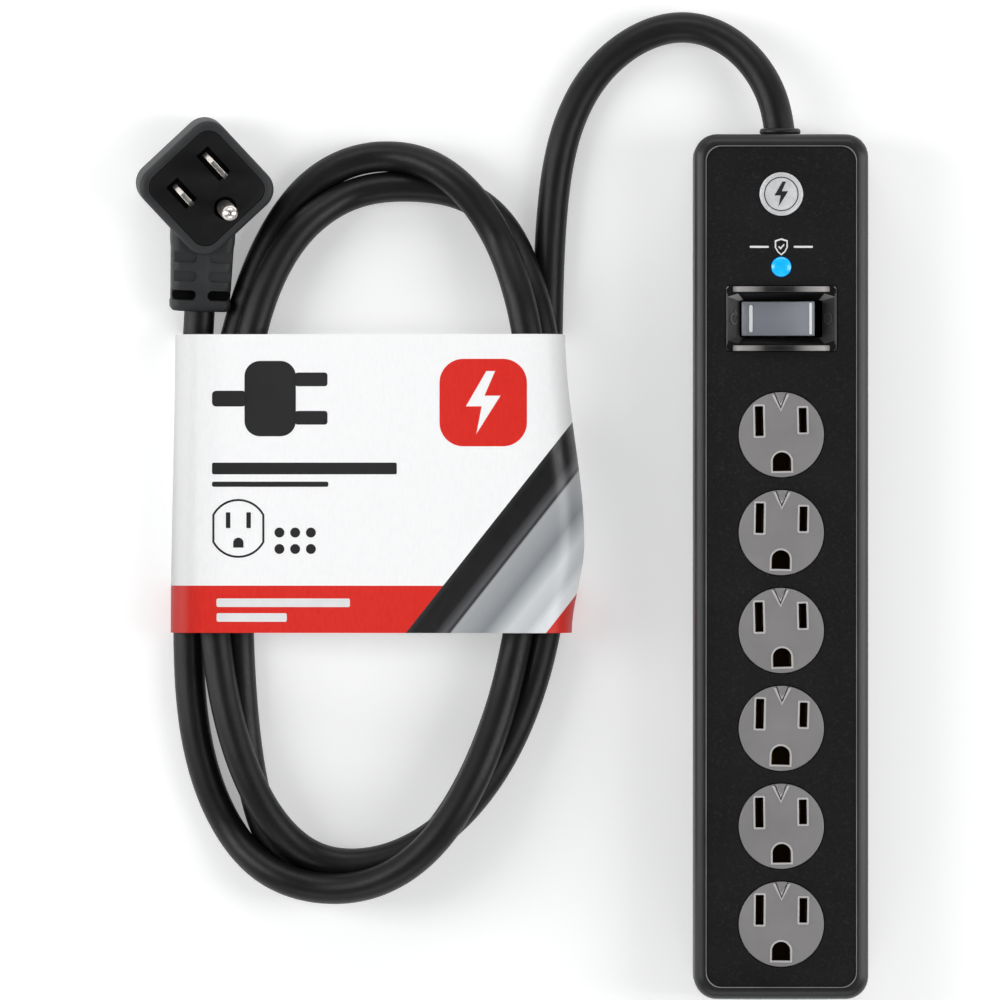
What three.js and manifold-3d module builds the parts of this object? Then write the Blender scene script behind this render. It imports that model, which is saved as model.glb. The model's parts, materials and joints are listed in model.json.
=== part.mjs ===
// Six-outlet surge protector: a long power strip with a tilting reset switch, its coiled
// mains lead in a paper label sleeve, and a flat right-angle plug.
// Millimetres, +Z up. The strip lies on its back along Y with its cord end at +Y, and the
// origin is the centre of its underside.
import * as THREE from 'three';
import { mergeVertices } from 'three/addons/utils/BufferGeometryUtils.js';
import Module from 'manifold-3d';

const wasm = await Module();
wasm.setup();

// ---------------------------------------------------------------- driving dimensions
const GAP = 0.3;                      // air between pieces that touch

const CASE = { width: 50.8, length: 252, height: 32, wall: 2.2, floor: 2.4 };
const CASE_EDGE = 3.4;                // rounding of the case's long edges
const CASE_CORNER = 6.6;              // plan radius of the case's corners
const PARTING_Z = 14;                 // top of the base shell
const ROOF_UNDERSIDE = 29.2;          // underside of the cover's roof
const PANEL = { width: 43.6, length: 244.8, corner: 4.4, z: 31.6 };
const HALF_LENGTH = CASE.length / 2;

const OUTLETS = {
  count: 6, firstY: 38.4, pitch: 28.5, radius: 12.4, flange: 13.6, top: 31.8, bottom: 26.9,
};
const BLADE_SPACING = 12.7;           // between the two flat slots, centre to centre
const BLADE_ROW = 4.1;                // slots' centre above the outlet's centre
const GROUND_ROW = -7.8;              // ground hole's centre below the outlet's centre
const NEUTRAL_SLOT = [2.4, 8.7];
const LINE_SLOT = [2.3, 7.2];
const GROUND_HOLE_RADIUS = 2.7;

const SWITCH_Y = 72.2;
const PIVOT_Z = 24.8;                 // rocker pin's height
const ROCKER = { length: 21.3, width: 10, rise: 6.4, restTilt: 9 };
const ARM = { pivotZ: 12.9, halfLength: 8, halfWidth: 2.5, thickness: 0.8, restTilt: 7 };
const BEZEL = { width: 32.2, depth: 18.9, top: 31.9, bottom: 27.2, ridgeY: 8.6 };
const LOAD_TERMINAL_X = 8.6;

const BADGE = { y: 108.5, radius: 6.3 };
const LENS = { y: 87.3, radius: 2.9 };

const SCREW_X = 19.5;
const SCREW_ROWS = [117, -4.3, -117];
const KEYHOLE_ROWS = [93, -93];
const KEYHOLE = { entry: 4.5, slot: 4.6, slotLength: 8, pocket: [10, 17], roofZ: 7 };

const CARRIER = { y0: -121, y1: 54, z0: 9.6, z1: 11.5, halfWidth: 11.2 };
const BUS = { y0: -119, y1: 58, z0: 11.8, z1: 12.6, clipTop: 25.5 };
const BOARD = { y: 90.7, width: 34, depth: 20.6, z0: 8.9, z1: 10.5 };

const CORD_RADIUS = 4.5;
const CORD_SIDES = 12;
const CORD_EXIT_Z = 14.15;
const CLAMP = { y: 112, width: 23, depth: 6, screwX: 8.6 };
const WIRE_RADIUS = 1.4;
const JUMPER_RADIUS = 0.9;

// The mains lead where it lies free: out of the collar, over in an arch and down to the floor.
const LEAD_ROUTE = [
  [0, 128.4, 14.15], [0, 131.4, 14.15], [-1.5, 136.6, 13.7], [-4.2, 142.8, 12.4],
  [-8.6, 149, 10.8], [-14.6, 154.4, 9], [-21.5, 157.8, 7.3], [-29, 159, 6.1],
  [-36.6, 157.4, 5.3], [-44, 153.7, 4.8], [-51, 148.2, 4.6], [-56.7, 141.1, 4.6],
  [-60.6, 133.6, 4.6], [-63.6, 124.8, 4.6], [-65.5, 115, 4.6], [-66.8, 103, 4.6],
  [-67.6, 88, 4.6], [-68, 70.3, 4.6],
];
// The wound lead is an oval ring; each side is [x, y] of its furthest point.
const COIL_OUTER = { left: [-177.5, -20], top: [-116.1, 125.4], right: [-61.9, 28], bottom: [-129.6, -99.4] };
const COIL_INNER = { left: [-154.2, 19], top: [-109.7, 107.2], right: [-76.1, 40], bottom: [-125.8, -82.4] };
const COIL_ROUNDNESS = 2.3;           // superellipse power of the oval
const COIL_HEIGHT = 26;
const LEAD_CORRIDOR = { x: -72.8, y: 70 };
const TAIL_END = { x: -171.3, y: 40 };
// Clear of the coil's solid: the tail, the strain relief and the plug's lower edge.
const PLUG_CLEARANCE = [
  [-200, TAIL_END.y], [-165.9, TAIL_END.y], [-164.6, 68], [-159, 74], [-159, 95], [-146, 106],
  [-146, 140], [-200, 140],
];

const SLEEVE = { x0: -178.3, x1: -57.2, y0: -19.4, y1: 67.8, height: 27.4, paper: 0.5, corner: 4 };

const PLUG = {
  x: -169.2, y: 112.2, lift: 1.95, yaw: 43, tilt: 8,
  side: 31.5, corner: 6.2, height: 18, edge: 1.8,
};
const CORE = { side: 26.3, corner: 4.5, depth: 3.3 };
const RELIEF = { z: 8.5, height: 12.4, startWidth: 18.8, endWidth: 17.4, length: 36.5, edge: 2 };
const BLADE = { length: 17.1, thickness: 1.5, lineWidth: 6.35, neutralWidth: 7.9 };
const GROUND_PIN = { radius: 2.37, length: 20.2 };
const BLADE_LINE = 4;                 // the blades' centre line above the plug's middle
const GROUND_PIN_LINE = -7.9;         // the ground pin's centre below it

// ---------------------------------------------------------------- materials
const finish = (color, roughness, metalness = 0) =>
  new THREE.MeshStandardMaterial({ color, roughness, metalness });
const look = {
  blackPlastic: finish(0x17181a, 0.55),
  greyPlastic: finish(0x8b8988, 0.45),
  rockerPlastic: finish(0x84878f, 0.35),
  bluePlastic: finish(0x10a5ee, 0.2),
  blackVinyl: finish(0x1d1e20, 0.6),
  plugVinyl: finish(0x2b2d2f, 0.65),
  paper: finish(0xf4f4f4, 0.5),
  insulator: finish(0xd8d4c8, 0.6),
  brass: finish(0xb9975a, 0.35, 1),
  nickel: finish(0xb8b4aa, 0.3, 1),
  steel: finish(0x9a9ca0, 0.4, 1),
  silver: finish(0xd4d6d8, 0.3, 0.6),
  board: finish(0x1f5c3a, 0.5),
  varistor: finish(0x2a6fb5, 0.5),
  ledResin: finish(0xa9d8f5, 0.15),
  whiteWire: finish(0xeeeeea, 0.5),
  greenWire: finish(0x2c8a46, 0.5),
};

// ---------------------------------------------------------------- geometry helpers
function toSolid(geometry) {
  const bare = geometry.clone();
  bare.deleteAttribute('normal');
  bare.deleteAttribute('uv');
  const welded = mergeVertices(bare, 1e-4);
  return new wasm.Manifold(new wasm.Mesh({
    numProp: 3,
    vertProperties: new Float32Array(welded.attributes.position.array),
    triVerts: new Uint32Array(welded.index.array),
  }));
}

function toGeometry(solid) {
  const mesh = solid.getMesh();
  const geometry = new THREE.BufferGeometry();
  geometry.setAttribute('position', new THREE.BufferAttribute(mesh.vertProperties, 3));
  geometry.setIndex(new THREE.BufferAttribute(mesh.triVerts, 1));
  const faceted = geometry.toNonIndexed();
  faceted.computeVertexNormals();
  return faceted;
}

function join(...pieces) {
  return toGeometry(pieces.map(toSolid).reduce((a, b) => a.add(b)));
}

function cut(body, ...tools) {
  return toGeometry(tools.map(toSolid).reduce((a, b) => a.subtract(b), toSolid(body)));
}

function block(width, depth, z0, z1, x = 0, y = 0) {
  return new THREE.BoxGeometry(width, depth, z1 - z0).translate(x, y, (z0 + z1) / 2);
}

function disc(radius, z0, z1, x = 0, y = 0, sides = 16) {
  const geometry = new THREE.CylinderGeometry(radius, radius, z1 - z0, sides);
  return geometry.rotateX(Math.PI / 2).translate(x, y, (z0 + z1) / 2);
}

function rodAlongY(radius, y0, y1, x, z, sides = 12) {
  return new THREE.CylinderGeometry(radius, radius, y1 - y0, sides).translate(x, (y0 + y1) / 2, z);
}

function rodAlongX(radius, length, x, y, z) {
  return new THREE.CylinderGeometry(radius, radius, length, 12).rotateZ(Math.PI / 2).translate(x, y, z);
}

function roundedRectangle(width, length, radius, x = 0, y = 0) {
  const shape = new THREE.Shape();
  const right = x + width / 2 - radius;
  const left = x - width / 2 + radius;
  const top = y + length / 2 - radius;
  const bottom = y - length / 2 + radius;
  shape.absarc(right, top, radius, 0, Math.PI / 2);
  shape.absarc(left, top, radius, Math.PI / 2, Math.PI);
  shape.absarc(left, bottom, radius, Math.PI, Math.PI * 1.5);
  shape.absarc(right, bottom, radius, Math.PI * 1.5, Math.PI * 2);
  return shape;
}

function plate(shape, z0, z1, curveSegments = 5) {
  const settings = { depth: z1 - z0, bevelEnabled: false, curveSegments };
  return new THREE.ExtrudeGeometry(shape, settings).translate(0, 0, z0);
}

// A plate whose top and bottom edges are rounded; the shape is its outline inside the rounding.
function roundedPlate(shape, z0, z1, edge, bevelSegments = 3, curveSegments = 4) {
  const settings = {
    depth: z1 - z0 - 2 * edge,
    bevelThickness: edge,
    bevelSize: edge,
    bevelSegments,
    curveSegments,
  };
  return new THREE.ExtrudeGeometry(shape, settings).translate(0, 0, z0 + edge);
}

// An outline drawn in the XZ plane, swept from y0 to y1.
function profileAlongY(shape, y0, y1, curveSegments = 6) {
  const settings = { depth: y1 - y0, bevelEnabled: false, curveSegments };
  return new THREE.ExtrudeGeometry(shape, settings).rotateX(Math.PI / 2).translate(0, y1, 0);
}

function polygon(points) {
  return new THREE.Shape(points.map(([x, y]) => new THREE.Vector2(x, y)));
}

function circle(radius, sides = 12) {
  const turn = (Math.PI * 2) / sides;
  return polygon(Array.from({ length: sides }, (_, i) => [
    radius * Math.cos(i * turn),
    radius * Math.sin(i * turn),
  ]));
}

function tube(route, radius, steps, sides) {
  const extrudePath = new THREE.CatmullRomCurve3(route.map((p) => new THREE.Vector3(...p)));
  return new THREE.ExtrudeGeometry(circle(radius, sides), { steps, bevelEnabled: false, extrudePath });
}

const root = new THREE.Group();

function add(name, geometry, material, parent = root) {
  const mesh = new THREE.Mesh(geometry, material);
  mesh.name = name;
  parent.add(mesh);
}

// ---------------------------------------------------------------- enclosure
const outletRows = Array.from({ length: OUTLETS.count }, (_, i) => OUTLETS.firstY - i * OUTLETS.pitch);
const screwPlaces = SCREW_ROWS.flatMap((y) => [[-SCREW_X, y], [SCREW_X, y]]);

function caseBody() {
  const core = roundedRectangle(
    CASE.width - 2 * CASE_EDGE,
    CASE.length - 2 * CASE_EDGE,
    CASE_CORNER - CASE_EDGE,
  );
  return roundedPlate(core, 0, CASE.height, CASE_EDGE, 2, 3);
}

function caseCavity(z0, z1) {
  const inside = roundedRectangle(
    CASE.width - 2 * CASE.wall,
    CASE.length - 2 * CASE.wall,
    CASE_CORNER - CASE.wall,
  );
  return plate(inside, z0, z1);
}

const clampScrews = [-CLAMP.screwX, CLAMP.screwX];
const cordPort = () => rodAlongY(5.9, HALF_LENGTH - 4, HALF_LENGTH + 2, 0, CORD_EXIT_Z, 20);
const cordChannel = () => rodAlongY(CORD_RADIUS + GAP, CLAMP.y - 4, CLAMP.y + 4, 0, CORD_EXIT_Z, 16);

function topCover() {
  const below = block(60, 260, -1, PARTING_Z + GAP);
  const shell = cut(
    caseBody(),
    below,
    caseCavity(PARTING_Z, ROOF_UNDERSIDE),
    plate(roundedRectangle(PANEL.width, PANEL.length, PANEL.corner), PANEL.z, CASE.height + 1),
  );
  const posts = screwPlaces.map(([x, y]) => disc(3.2, PARTING_Z + GAP, ROOF_UNDERSIDE + 0.5, x, y, 12));
  const bores = screwPlaces.map(([x, y]) => disc(1.7, PARTING_Z, 25, x, y, 8));
  const outletHoles = outletRows.map((y) => disc(OUTLETS.radius + GAP, 28, 33, 0, y, 24));
  return cut(
    join(shell, ...posts),
    ...bores,
    ...outletHoles,
    block(BEZEL.width + 2 * GAP, BEZEL.depth + 2 * GAP, 28, 33, 0, SWITCH_Y),
    disc(LENS.radius + GAP, 28, 33, 0, LENS.y),
    disc(BADGE.radius + GAP, 30.8, 33, 0, BADGE.y, 24),
    cordPort(),
  );
}

function keyholeBoss(y) {
  const [width, length] = KEYHOLE.pocket;
  return block(width + 3.2, length + 3.2, CASE.floor - 0.5, KEYHOLE.roofZ + 1.6, 0, y);
}

// A round entry with a narrow slot towards +Y, opening into a pocket for the screw's head.
function keyholeCuts(y) {
  const [width, length] = KEYHOLE.pocket;
  const entryY = y - 3.5;
  return [
    disc(KEYHOLE.entry, -1, KEYHOLE.roofZ, 0, entryY, 20),
    block(KEYHOLE.slot, KEYHOLE.slotLength, -1, CASE.floor + 0.5, 0, entryY + KEYHOLE.slotLength / 2),
    block(width, length, CASE.floor, KEYHOLE.roofZ, 0, y),
  ];
}

function baseShell() {
  const ribRows = [50, 24, -4, -32, -60, -77, -109];
  const above = block(60, 260, PARTING_Z, CASE.height + 1);
  const shell = cut(caseBody(), above, caseCavity(CASE.floor, PARTING_Z + 1));
  const bosses = screwPlaces.map(([x, y]) => disc(4, CASE.floor - 0.5, PARTING_Z - GAP, x, y, 12));
  const ribs = ribRows.map(
    (y) => block(2 * CARRIER.halfWidth, 1.6, CASE.floor - 0.5, CARRIER.z0 - GAP, 0, y),
  );
  const clampSeat = block(CLAMP.width, CLAMP.depth, CASE.floor - 0.5, CORD_EXIT_Z - GAP, 0, CLAMP.y);
  const solid = join(shell, ...bosses, ...ribs, clampSeat, ...KEYHOLE_ROWS.map(keyholeBoss));
  const screwBores = screwPlaces.flatMap(([x, y]) => [
    disc(3.3, -1, 7, x, y, 12),
    disc(1.7, 5, PARTING_Z + 1, x, y, 8),
  ]);
  const clampBores = clampScrews.map((x) => disc(1.5, 5, PARTING_Z + 1, x, CLAMP.y, 8));
  return cut(
    solid,
    ...screwBores,
    ...clampBores,
    ...KEYHOLE_ROWS.flatMap(keyholeCuts),
    cordChannel(),
    cordPort(),
  );
}

function panScrew(headRadius, headZ, shankRadius, tipZ) {
  // The head's flat top is at headZ and the shank runs to tipZ on either side of it.
  const towards = Math.sign(tipZ - headZ);
  const profile = [
    [0, 0], [headRadius * 0.7, 0], [headRadius, 0.7], [headRadius, 1.7],
    [shankRadius, 1.7], [shankRadius, Math.abs(tipZ - headZ) - 1], [0, Math.abs(tipZ - headZ)],
  ].map(([r, h]) => new THREE.Vector2(r, h));
  const geometry = new THREE.LatheGeometry(profile, 10).rotateX(towards * (Math.PI / 2));
  return geometry.translate(0, 0, headZ);
}

add('top_cover', topCover(), look.blackPlastic);
add('base_shell', baseShell(), look.blackPlastic);
screwPlaces.forEach(([x, y], i) => {
  add(`cover_screw_${i + 1}`, panScrew(2.9, 5, 1.4, 24).translate(x, y, 0), look.steel);
});

// ---------------------------------------------------------------- outlets
function outletFace(y) {
  const face = join(
    disc(OUTLETS.radius, OUTLETS.bottom, OUTLETS.top, 0, y, 24),
    disc(OUTLETS.flange, OUTLETS.bottom, ROOF_UNDERSIDE - GAP, 0, y, 24),
  );
  const ground = new THREE.Shape();
  ground.moveTo(-GROUND_HOLE_RADIUS, y + GROUND_ROW - 2.8);
  ground.lineTo(GROUND_HOLE_RADIUS, y + GROUND_ROW - 2.8);
  ground.absarc(0, y + GROUND_ROW, GROUND_HOLE_RADIUS, 0, Math.PI);
  const [z0, z1] = [OUTLETS.bottom - 1, OUTLETS.top + 1];
  return cut(
    face,
    block(...NEUTRAL_SLOT, z0, z1, -BLADE_SPACING / 2, y + BLADE_ROW),
    block(...LINE_SLOT, z0, z1, BLADE_SPACING / 2, y + BLADE_ROW),
    plate(ground, z0, z1),
  );
}

// A flat strip with a pair of spring leaves at every outlet.
function busBar(x, [stripLow, stripHigh], leafGap, leafLength, clipRow) {
  const leaf = 0.8;
  const strip = block(
    stripHigh - stripLow,
    BUS.y1 - BUS.y0,
    BUS.z0,
    BUS.z1,
    (stripLow + stripHigh) / 2,
    (BUS.y0 + BUS.y1) / 2,
  );
  const leaves = outletRows.flatMap((y) => [-1, 1].map((side) => block(
    leaf,
    leafLength,
    BUS.z0 + 0.2,
    BUS.clipTop,
    x + side * (leafGap + leaf) / 2,
    y + clipRow,
  )));
  return join(strip, ...leaves);
}

function contactCarrier() {
  const [length, middle] = [CARRIER.y1 - CARRIER.y0, (CARRIER.y0 + CARRIER.y1) / 2];
  const floorPlate = block(2 * CARRIER.halfWidth, length, CARRIER.z0, CARRIER.z1, 0, middle);
  const walls = [-10.6, -4, 4, 10.6].map((x) => block(0.7, length, CARRIER.z1 - 0.5, 14.5, x, middle));
  return join(floorPlate, ...walls);
}

outletRows.forEach((y, i) => add(`outlet_face_${i + 1}`, outletFace(y), look.greyPlastic));
add('contact_carrier', contactCarrier(), look.insulator);
add('neutral_bus_bar', busBar(-BLADE_SPACING / 2, [-8.8, -4.75], 1.2, 7, BLADE_ROW), look.brass);
add('line_bus_bar', busBar(BLADE_SPACING / 2, [4.75, 8.8], 1.2, 6, BLADE_ROW), look.brass);
add('ground_bus_bar', busBar(0, [-3.2, 3.2], 4.6, 5, GROUND_ROW), look.brass);

// ---------------------------------------------------------------- reset switch
function guardRidge(y) {
  const [half, foot, rise, steps] = [14.1, 0.4, 1.7, 8];
  const crest = Array.from({ length: steps + 1 }, (_, i) => {
    const t = (2 * i) / steps - 1;
    return [-t * half, BEZEL.top + foot + (rise - foot) * (1 - t * t)];
  });
  const outline = polygon([[-half, BEZEL.top - 0.5], [half, BEZEL.top - 0.5], ...crest]);
  return profileAlongY(outline, y - 0.8, y + 0.8);
}

// A four-sided funnel: half-widths [x, y] at the top, shrinking to `ratio` of them at the bottom.
function funnel([x, y], ratio, z0, z1) {
  const corner = Math.SQRT2;
  const geometry = new THREE.CylinderGeometry(corner, corner * ratio, z1 - z0, 4);
  return geometry.rotateY(Math.PI / 4).rotateX(Math.PI / 2).scale(x, y, 1).translate(0, 0, (z0 + z1) / 2);
}

function switchBezel() {
  const frame = join(
    block(BEZEL.width, BEZEL.depth, BEZEL.bottom, BEZEL.top),
    block(BEZEL.width + 3, BEZEL.depth + 2.3, BEZEL.bottom, ROOF_UNDERSIDE - GAP),
    guardRidge(BEZEL.ridgeY),
    guardRidge(-BEZEL.ridgeY),
  );
  return cut(
    frame,
    funnel([15.6, 7.2], 0.77, 28, BEZEL.top + 0.01),
    block(24, 11, BEZEL.bottom - 1, 28.5),
  );
}

function switchHousing() {
  const box = block(26.8, 14.4, 6.5, BEZEL.bottom - GAP);
  return cut(
    box,
    block(24, 10.8, 8, 28),
    rodAlongY(1.5, -8, 8, 0, PIVOT_Z, 10),
    block(1.4, 5.6, 6, 9),
    block(1.4, 5.6, 6, 9, LOAD_TERMINAL_X),
  );
}

// The rocker in its neutral position, drawn about its pin.
function rockerBody() {
  const [half, rise, dip] = [ROCKER.length / 2, ROCKER.rise, 0.7];
  const outline = new THREE.Shape();
  outline.moveTo(-half + 0.6, 0.2);
  outline.lineTo(-3, -2.6);
  outline.lineTo(3, -2.6);
  outline.lineTo(half - 0.6, 0.2);
  outline.lineTo(half, rise);
  outline.quadraticCurveTo(0, rise - 2 * dip, -half, rise);
  const pinHole = new THREE.Path();
  pinHole.absarc(0, 0, 1.5, 0, Math.PI * 2, true);
  outline.holes.push(pinHole);
  const paddle = profileAlongY(outline, -ROCKER.width / 2, ROCKER.width / 2, 5);
  return cut(join(paddle, block(5.2, 5.2, -7.5, -2.2)), disc(1.6, -8, -2.4, 0, 0, 12));
}

function helix(radius, wireRadius, z0, z1, turns) {
  const stepsPerTurn = 8;
  const count = turns * stepsPerTurn;
  const route = Array.from({ length: count + 1 }, (_, i) => {
    const angle = (i / stepsPerTurn) * Math.PI * 2;
    return [radius * Math.cos(angle), radius * Math.sin(angle), z0 + ((z1 - z0) * i) / count];
  });
  return tube(route, wireRadius, count, 6);
}

function contactArm() {
  const underside = -ARM.thickness / 2;
  return join(
    block(2 * ARM.halfLength, 2 * ARM.halfWidth, underside, -underside),
    disc(1.6, underside - 1.2, underside + 0.2, ARM.halfLength - 1.8, 0),
  );
}

// A tab bent over at the top towards the arm's moving contact.
function loadTerminal() {
  return join(block(0.8, 5, 3.2, 10.1, LOAD_TERMINAL_X), block(4, 5, 9.3, 10.1, LOAD_TERMINAL_X - 1.6));
}

const switchGroup = new THREE.Group();
switchGroup.position.y = SWITCH_Y;
root.add(switchGroup);
add('switch_bezel', switchBezel(), look.blackPlastic, switchGroup);
add('switch_housing', switchHousing(), look.blackPlastic, switchGroup);
add('rocker_pin', rodAlongY(1.2, -7, 7, 0, PIVOT_Z, 12), look.steel, switchGroup);
add('line_terminal', block(0.8, 5, 3.2, ARM.pivotZ - 0.8), look.brass, switchGroup);
add('load_terminal', loadTerminal(), look.brass, switchGroup);

const rockerGroup = new THREE.Group();
rockerGroup.position.z = PIVOT_Z;
rockerGroup.rotation.y = THREE.MathUtils.degToRad(-ROCKER.restTilt);
switchGroup.add(rockerGroup);
add('rocker', rockerBody(), look.rockerPlastic, rockerGroup);
add('plunger_spring', helix(0.95, 0.28, -4.9, -2.9, 3), look.steel, rockerGroup);
add('switch_plunger', disc(1.3, -10.6, -5.5, 0, 0, 12), look.insulator, rockerGroup);

const armGroup = new THREE.Group();
armGroup.position.z = ARM.pivotZ;
armGroup.rotation.y = THREE.MathUtils.degToRad(ARM.restTilt);
switchGroup.add(armGroup);
add('contact_arm', contactArm(), look.brass, armGroup);

// ---------------------------------------------------------------- surge board and indicator
function discVaristor(x, y) {
  const body = new THREE.CylinderGeometry(6, 6, 4, 18).translate(x, y, BOARD.z1 + 6.8);
  const [low, high] = [BOARD.z1 + GAP, BOARD.z1 + 2.5];
  const leads = [-2.5, 2.5].map((side) => block(0.8, 0.8, low, high, x + side, y));
  return join(body, ...leads);
}

function axialPart(radius, length, x, y) {
  const height = BOARD.z1 + radius + 0.6;
  const reach = length / 2 + 0.8;
  const legs = [-reach, reach].map((side) => block(0.8, 0.8, BOARD.z1 + GAP, height, x + side, y));
  return join(
    rodAlongX(radius, length, x, y, height),
    block(length + 2.4, 0.8, height - 0.4, height + 0.4, x, y),
    ...legs,
  );
}

function statusLed() {
  const profile = [[0, 20], [2.9, 20], [2.9, 21], [2.5, 21], [2.5, 24.6], [1.8, 26], [0, 26.6]];
  const bulb = new THREE.LatheGeometry(profile.map(([r, z]) => new THREE.Vector2(r, z)), 12);
  const leads = [-1.3, 1.3].map((x) => block(0.6, 0.6, BOARD.z1 + GAP, 20.5, x, 0));
  return join(bulb.rotateX(Math.PI / 2), ...leads).translate(0, LENS.y, 0);
}

function statusLens() {
  const profile = [[0, 27.2], [4, 27.2], [4, 28.9], [2.9, 28.9], [2.9, 31.7], [2.2, 32.2], [0, 32.5]];
  const lens = new THREE.LatheGeometry(profile.map(([r, z]) => new THREE.Vector2(r, z)), 16);
  return lens.rotateX(Math.PI / 2).translate(0, LENS.y, 0);
}

add('status_lens', statusLens(), look.bluePlastic);
add('status_led', statusLed(), look.ledResin);
add('badge_disc', disc(BADGE.radius, 31.1, 31.9, 0, BADGE.y, 24), look.silver);
add('circuit_board', block(BOARD.width, BOARD.depth, BOARD.z0, BOARD.z1, 0, BOARD.y), look.board);
[[-9.5, 92], [9.5, 92], [0, 98.5]].forEach(([x, y], i) => {
  add(`varistor_${i + 1}`, discVaristor(x, y), look.varistor);
});
add('thermal_fuse', axialPart(2, 9, -9.5, 84), look.nickel);
add('led_resistor', axialPart(1.2, 6, 9.5, 84), look.insulator);

// ---------------------------------------------------------------- wiring inside the case
const WIRES = {
  line_feed_wire: {
    material: look.blackVinyl, radius: WIRE_RADIUS,
    route: [
      [3.1, 107.9, 14.15], [3.1, 106.2, 14], [5.6, 104.9, 11], [9.6, 103.2, 6.8],
      [12.8, 99, 4.6], [12.5, 88, 4.5], [7.5, 80.2, 4.5], [0, 78, 4.5], [0, 75.1, 4.5],
    ],
  },
  ground_feed_wire: {
    material: look.greenWire, radius: WIRE_RADIUS,
    route: [
      [0, 107.9, 14.15], [0, 106.2, 13.6], [-3.4, 105.4, 10.6], [-10, 104, 6.6],
      [-13.8, 99.6, 4.7], [-15.9, 92, 4.5], [-15.9, 68, 4.5], [-13.4, 61.8, 6.8],
      [-5, 61.6, 11.4], [0, 60.8, 12.2], [0, 58.5, 12.2],
    ],
  },
  neutral_feed_wire: {
    material: look.whiteWire, radius: WIRE_RADIUS,
    route: [
      [-3.1, 107.9, 14.15], [-3.1, 106.2, 14.15], [-8.5, 104.9, 12], [-15.5, 101.8, 7],
      [-19.6, 94, 4.8], [-19.8, 82, 4.5], [-19.8, 66, 4.6], [-17, 57.4, 8],
      [-11.6, 56, 12.4], [-9, 56, 12.4],
    ],
  },
  switched_wire: {
    material: look.blackVinyl, radius: WIRE_RADIUS,
    route: [
      [LOAD_TERMINAL_X, 69.3, 4.5], [LOAD_TERMINAL_X, 65.4, 4.5], [8, 61.8, 7.8],
      [6.35, 60.4, 12.2], [6.35, 58.5, 12.2],
    ],
  },
  board_line_wire: {
    material: look.blackVinyl, radius: JUMPER_RADIUS,
    route: [[15.2, 80.1, 9.7], [15.4, 70, 11], [13.5, 62, 14.5], [8.5, 57.4, 16.4], [7.4, 56.2, 13]],
  },
  board_neutral_wire: {
    material: look.whiteWire, radius: JUMPER_RADIUS,
    route: [[-15.2, 80.1, 9.7], [-15.4, 70, 11], [-13.5, 62, 14.5], [-8.5, 57.4, 16.4], [-7.4, 56.2, 13]],
  },
};
for (const [name, { route, radius, material }] of Object.entries(WIRES)) {
  add(name, tube(route, radius, 2 * route.length, 6), material);
}

// ---------------------------------------------------------------- cord entry
function cordCollar() {
  const profile = [
    [0, 121.6], [7.4, 121.6], [7.4, 123.4], [5.6, 123.4], [5.6, 126.4],
    [6, 126.4], [6, 127.5], [5.5, 128], [0, 128],
  ];
  const collar = new THREE.LatheGeometry(profile.map(([r, y]) => new THREE.Vector2(r, y)), 20);
  return collar.translate(0, 0, CORD_EXIT_Z);
}

function cordClamp() {
  return cut(
    block(CLAMP.width, CLAMP.depth, CORD_EXIT_Z + 0.35, 21, 0, CLAMP.y),
    cordChannel(),
    ...clampScrews.map((x) => disc(1.5, 10, 22, x, CLAMP.y, 8)),
  );
}

add('cord_collar', cordCollar(), look.blackPlastic);
add('cord_jacket_end', rodAlongY(CORD_RADIUS, 108.6, 121.3, 0, CORD_EXIT_Z, CORD_SIDES), look.blackVinyl);
add('cord_clamp', cordClamp(), look.blackPlastic);
clampScrews.forEach((x, i) => {
  add(`clamp_screw_${i + 1}`, panScrew(2.6, 23, 1.2, 6.5).translate(x, CLAMP.y, 0), look.steel);
});

// ---------------------------------------------------------------- free cord and its coil
// Four quarters of a superellipse through the furthest points on each side.
function oval({ left, top, right, bottom }, stepsPerQuarter = 6) {
  const quarter = (side, end) => Array.from({ length: stepsPerQuarter }, (_, i) => {
    const angle = (i / stepsPerQuarter) * (Math.PI / 2);
    const across = Math.cos(angle) ** (2 / COIL_ROUNDNESS);
    const along = Math.sin(angle) ** (2 / COIL_ROUNDNESS);
    return [end[0] + (side[0] - end[0]) * across, side[1] + (end[1] - side[1]) * along];
  });
  const back = (side, end) => [end, ...quarter(side, end).slice(1).reverse()];
  return [...quarter(right, top), ...back(left, top), ...quarter(left, bottom), ...back(right, bottom)];
}

function cordCoil() {
  const edge = 4;
  const inset = ({ left, top, right, bottom }, by) => ({
    left: [left[0] + by, left[1]],
    top: [top[0], top[1] - by],
    right: [right[0] - by, right[1]],
    bottom: [bottom[0], bottom[1] + by],
  });
  const outline = polygon(oval(inset(COIL_OUTER, edge)));
  outline.holes.push(polygon(oval(inset(COIL_INNER, -edge))));
  const ring = roundedPlate(outline, 0, COIL_HEIGHT, edge, 1);
  const sleeveMiddle = (SLEEVE.y0 + SLEEVE.y1) / 2;
  const sleeveLength = SLEEVE.y1 - SLEEVE.y0 + 2 * GAP;
  return cut(
    ring,
    block(200, sleeveLength, -1, SLEEVE.paper + GAP, -120, sleeveMiddle),
    block(40, 80, -1, 40, LEAD_CORRIDOR.x + 20, LEAD_CORRIDOR.y + 40),
    plate(polygon(PLUG_CLEARANCE), -1, 40),
  );
}

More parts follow.
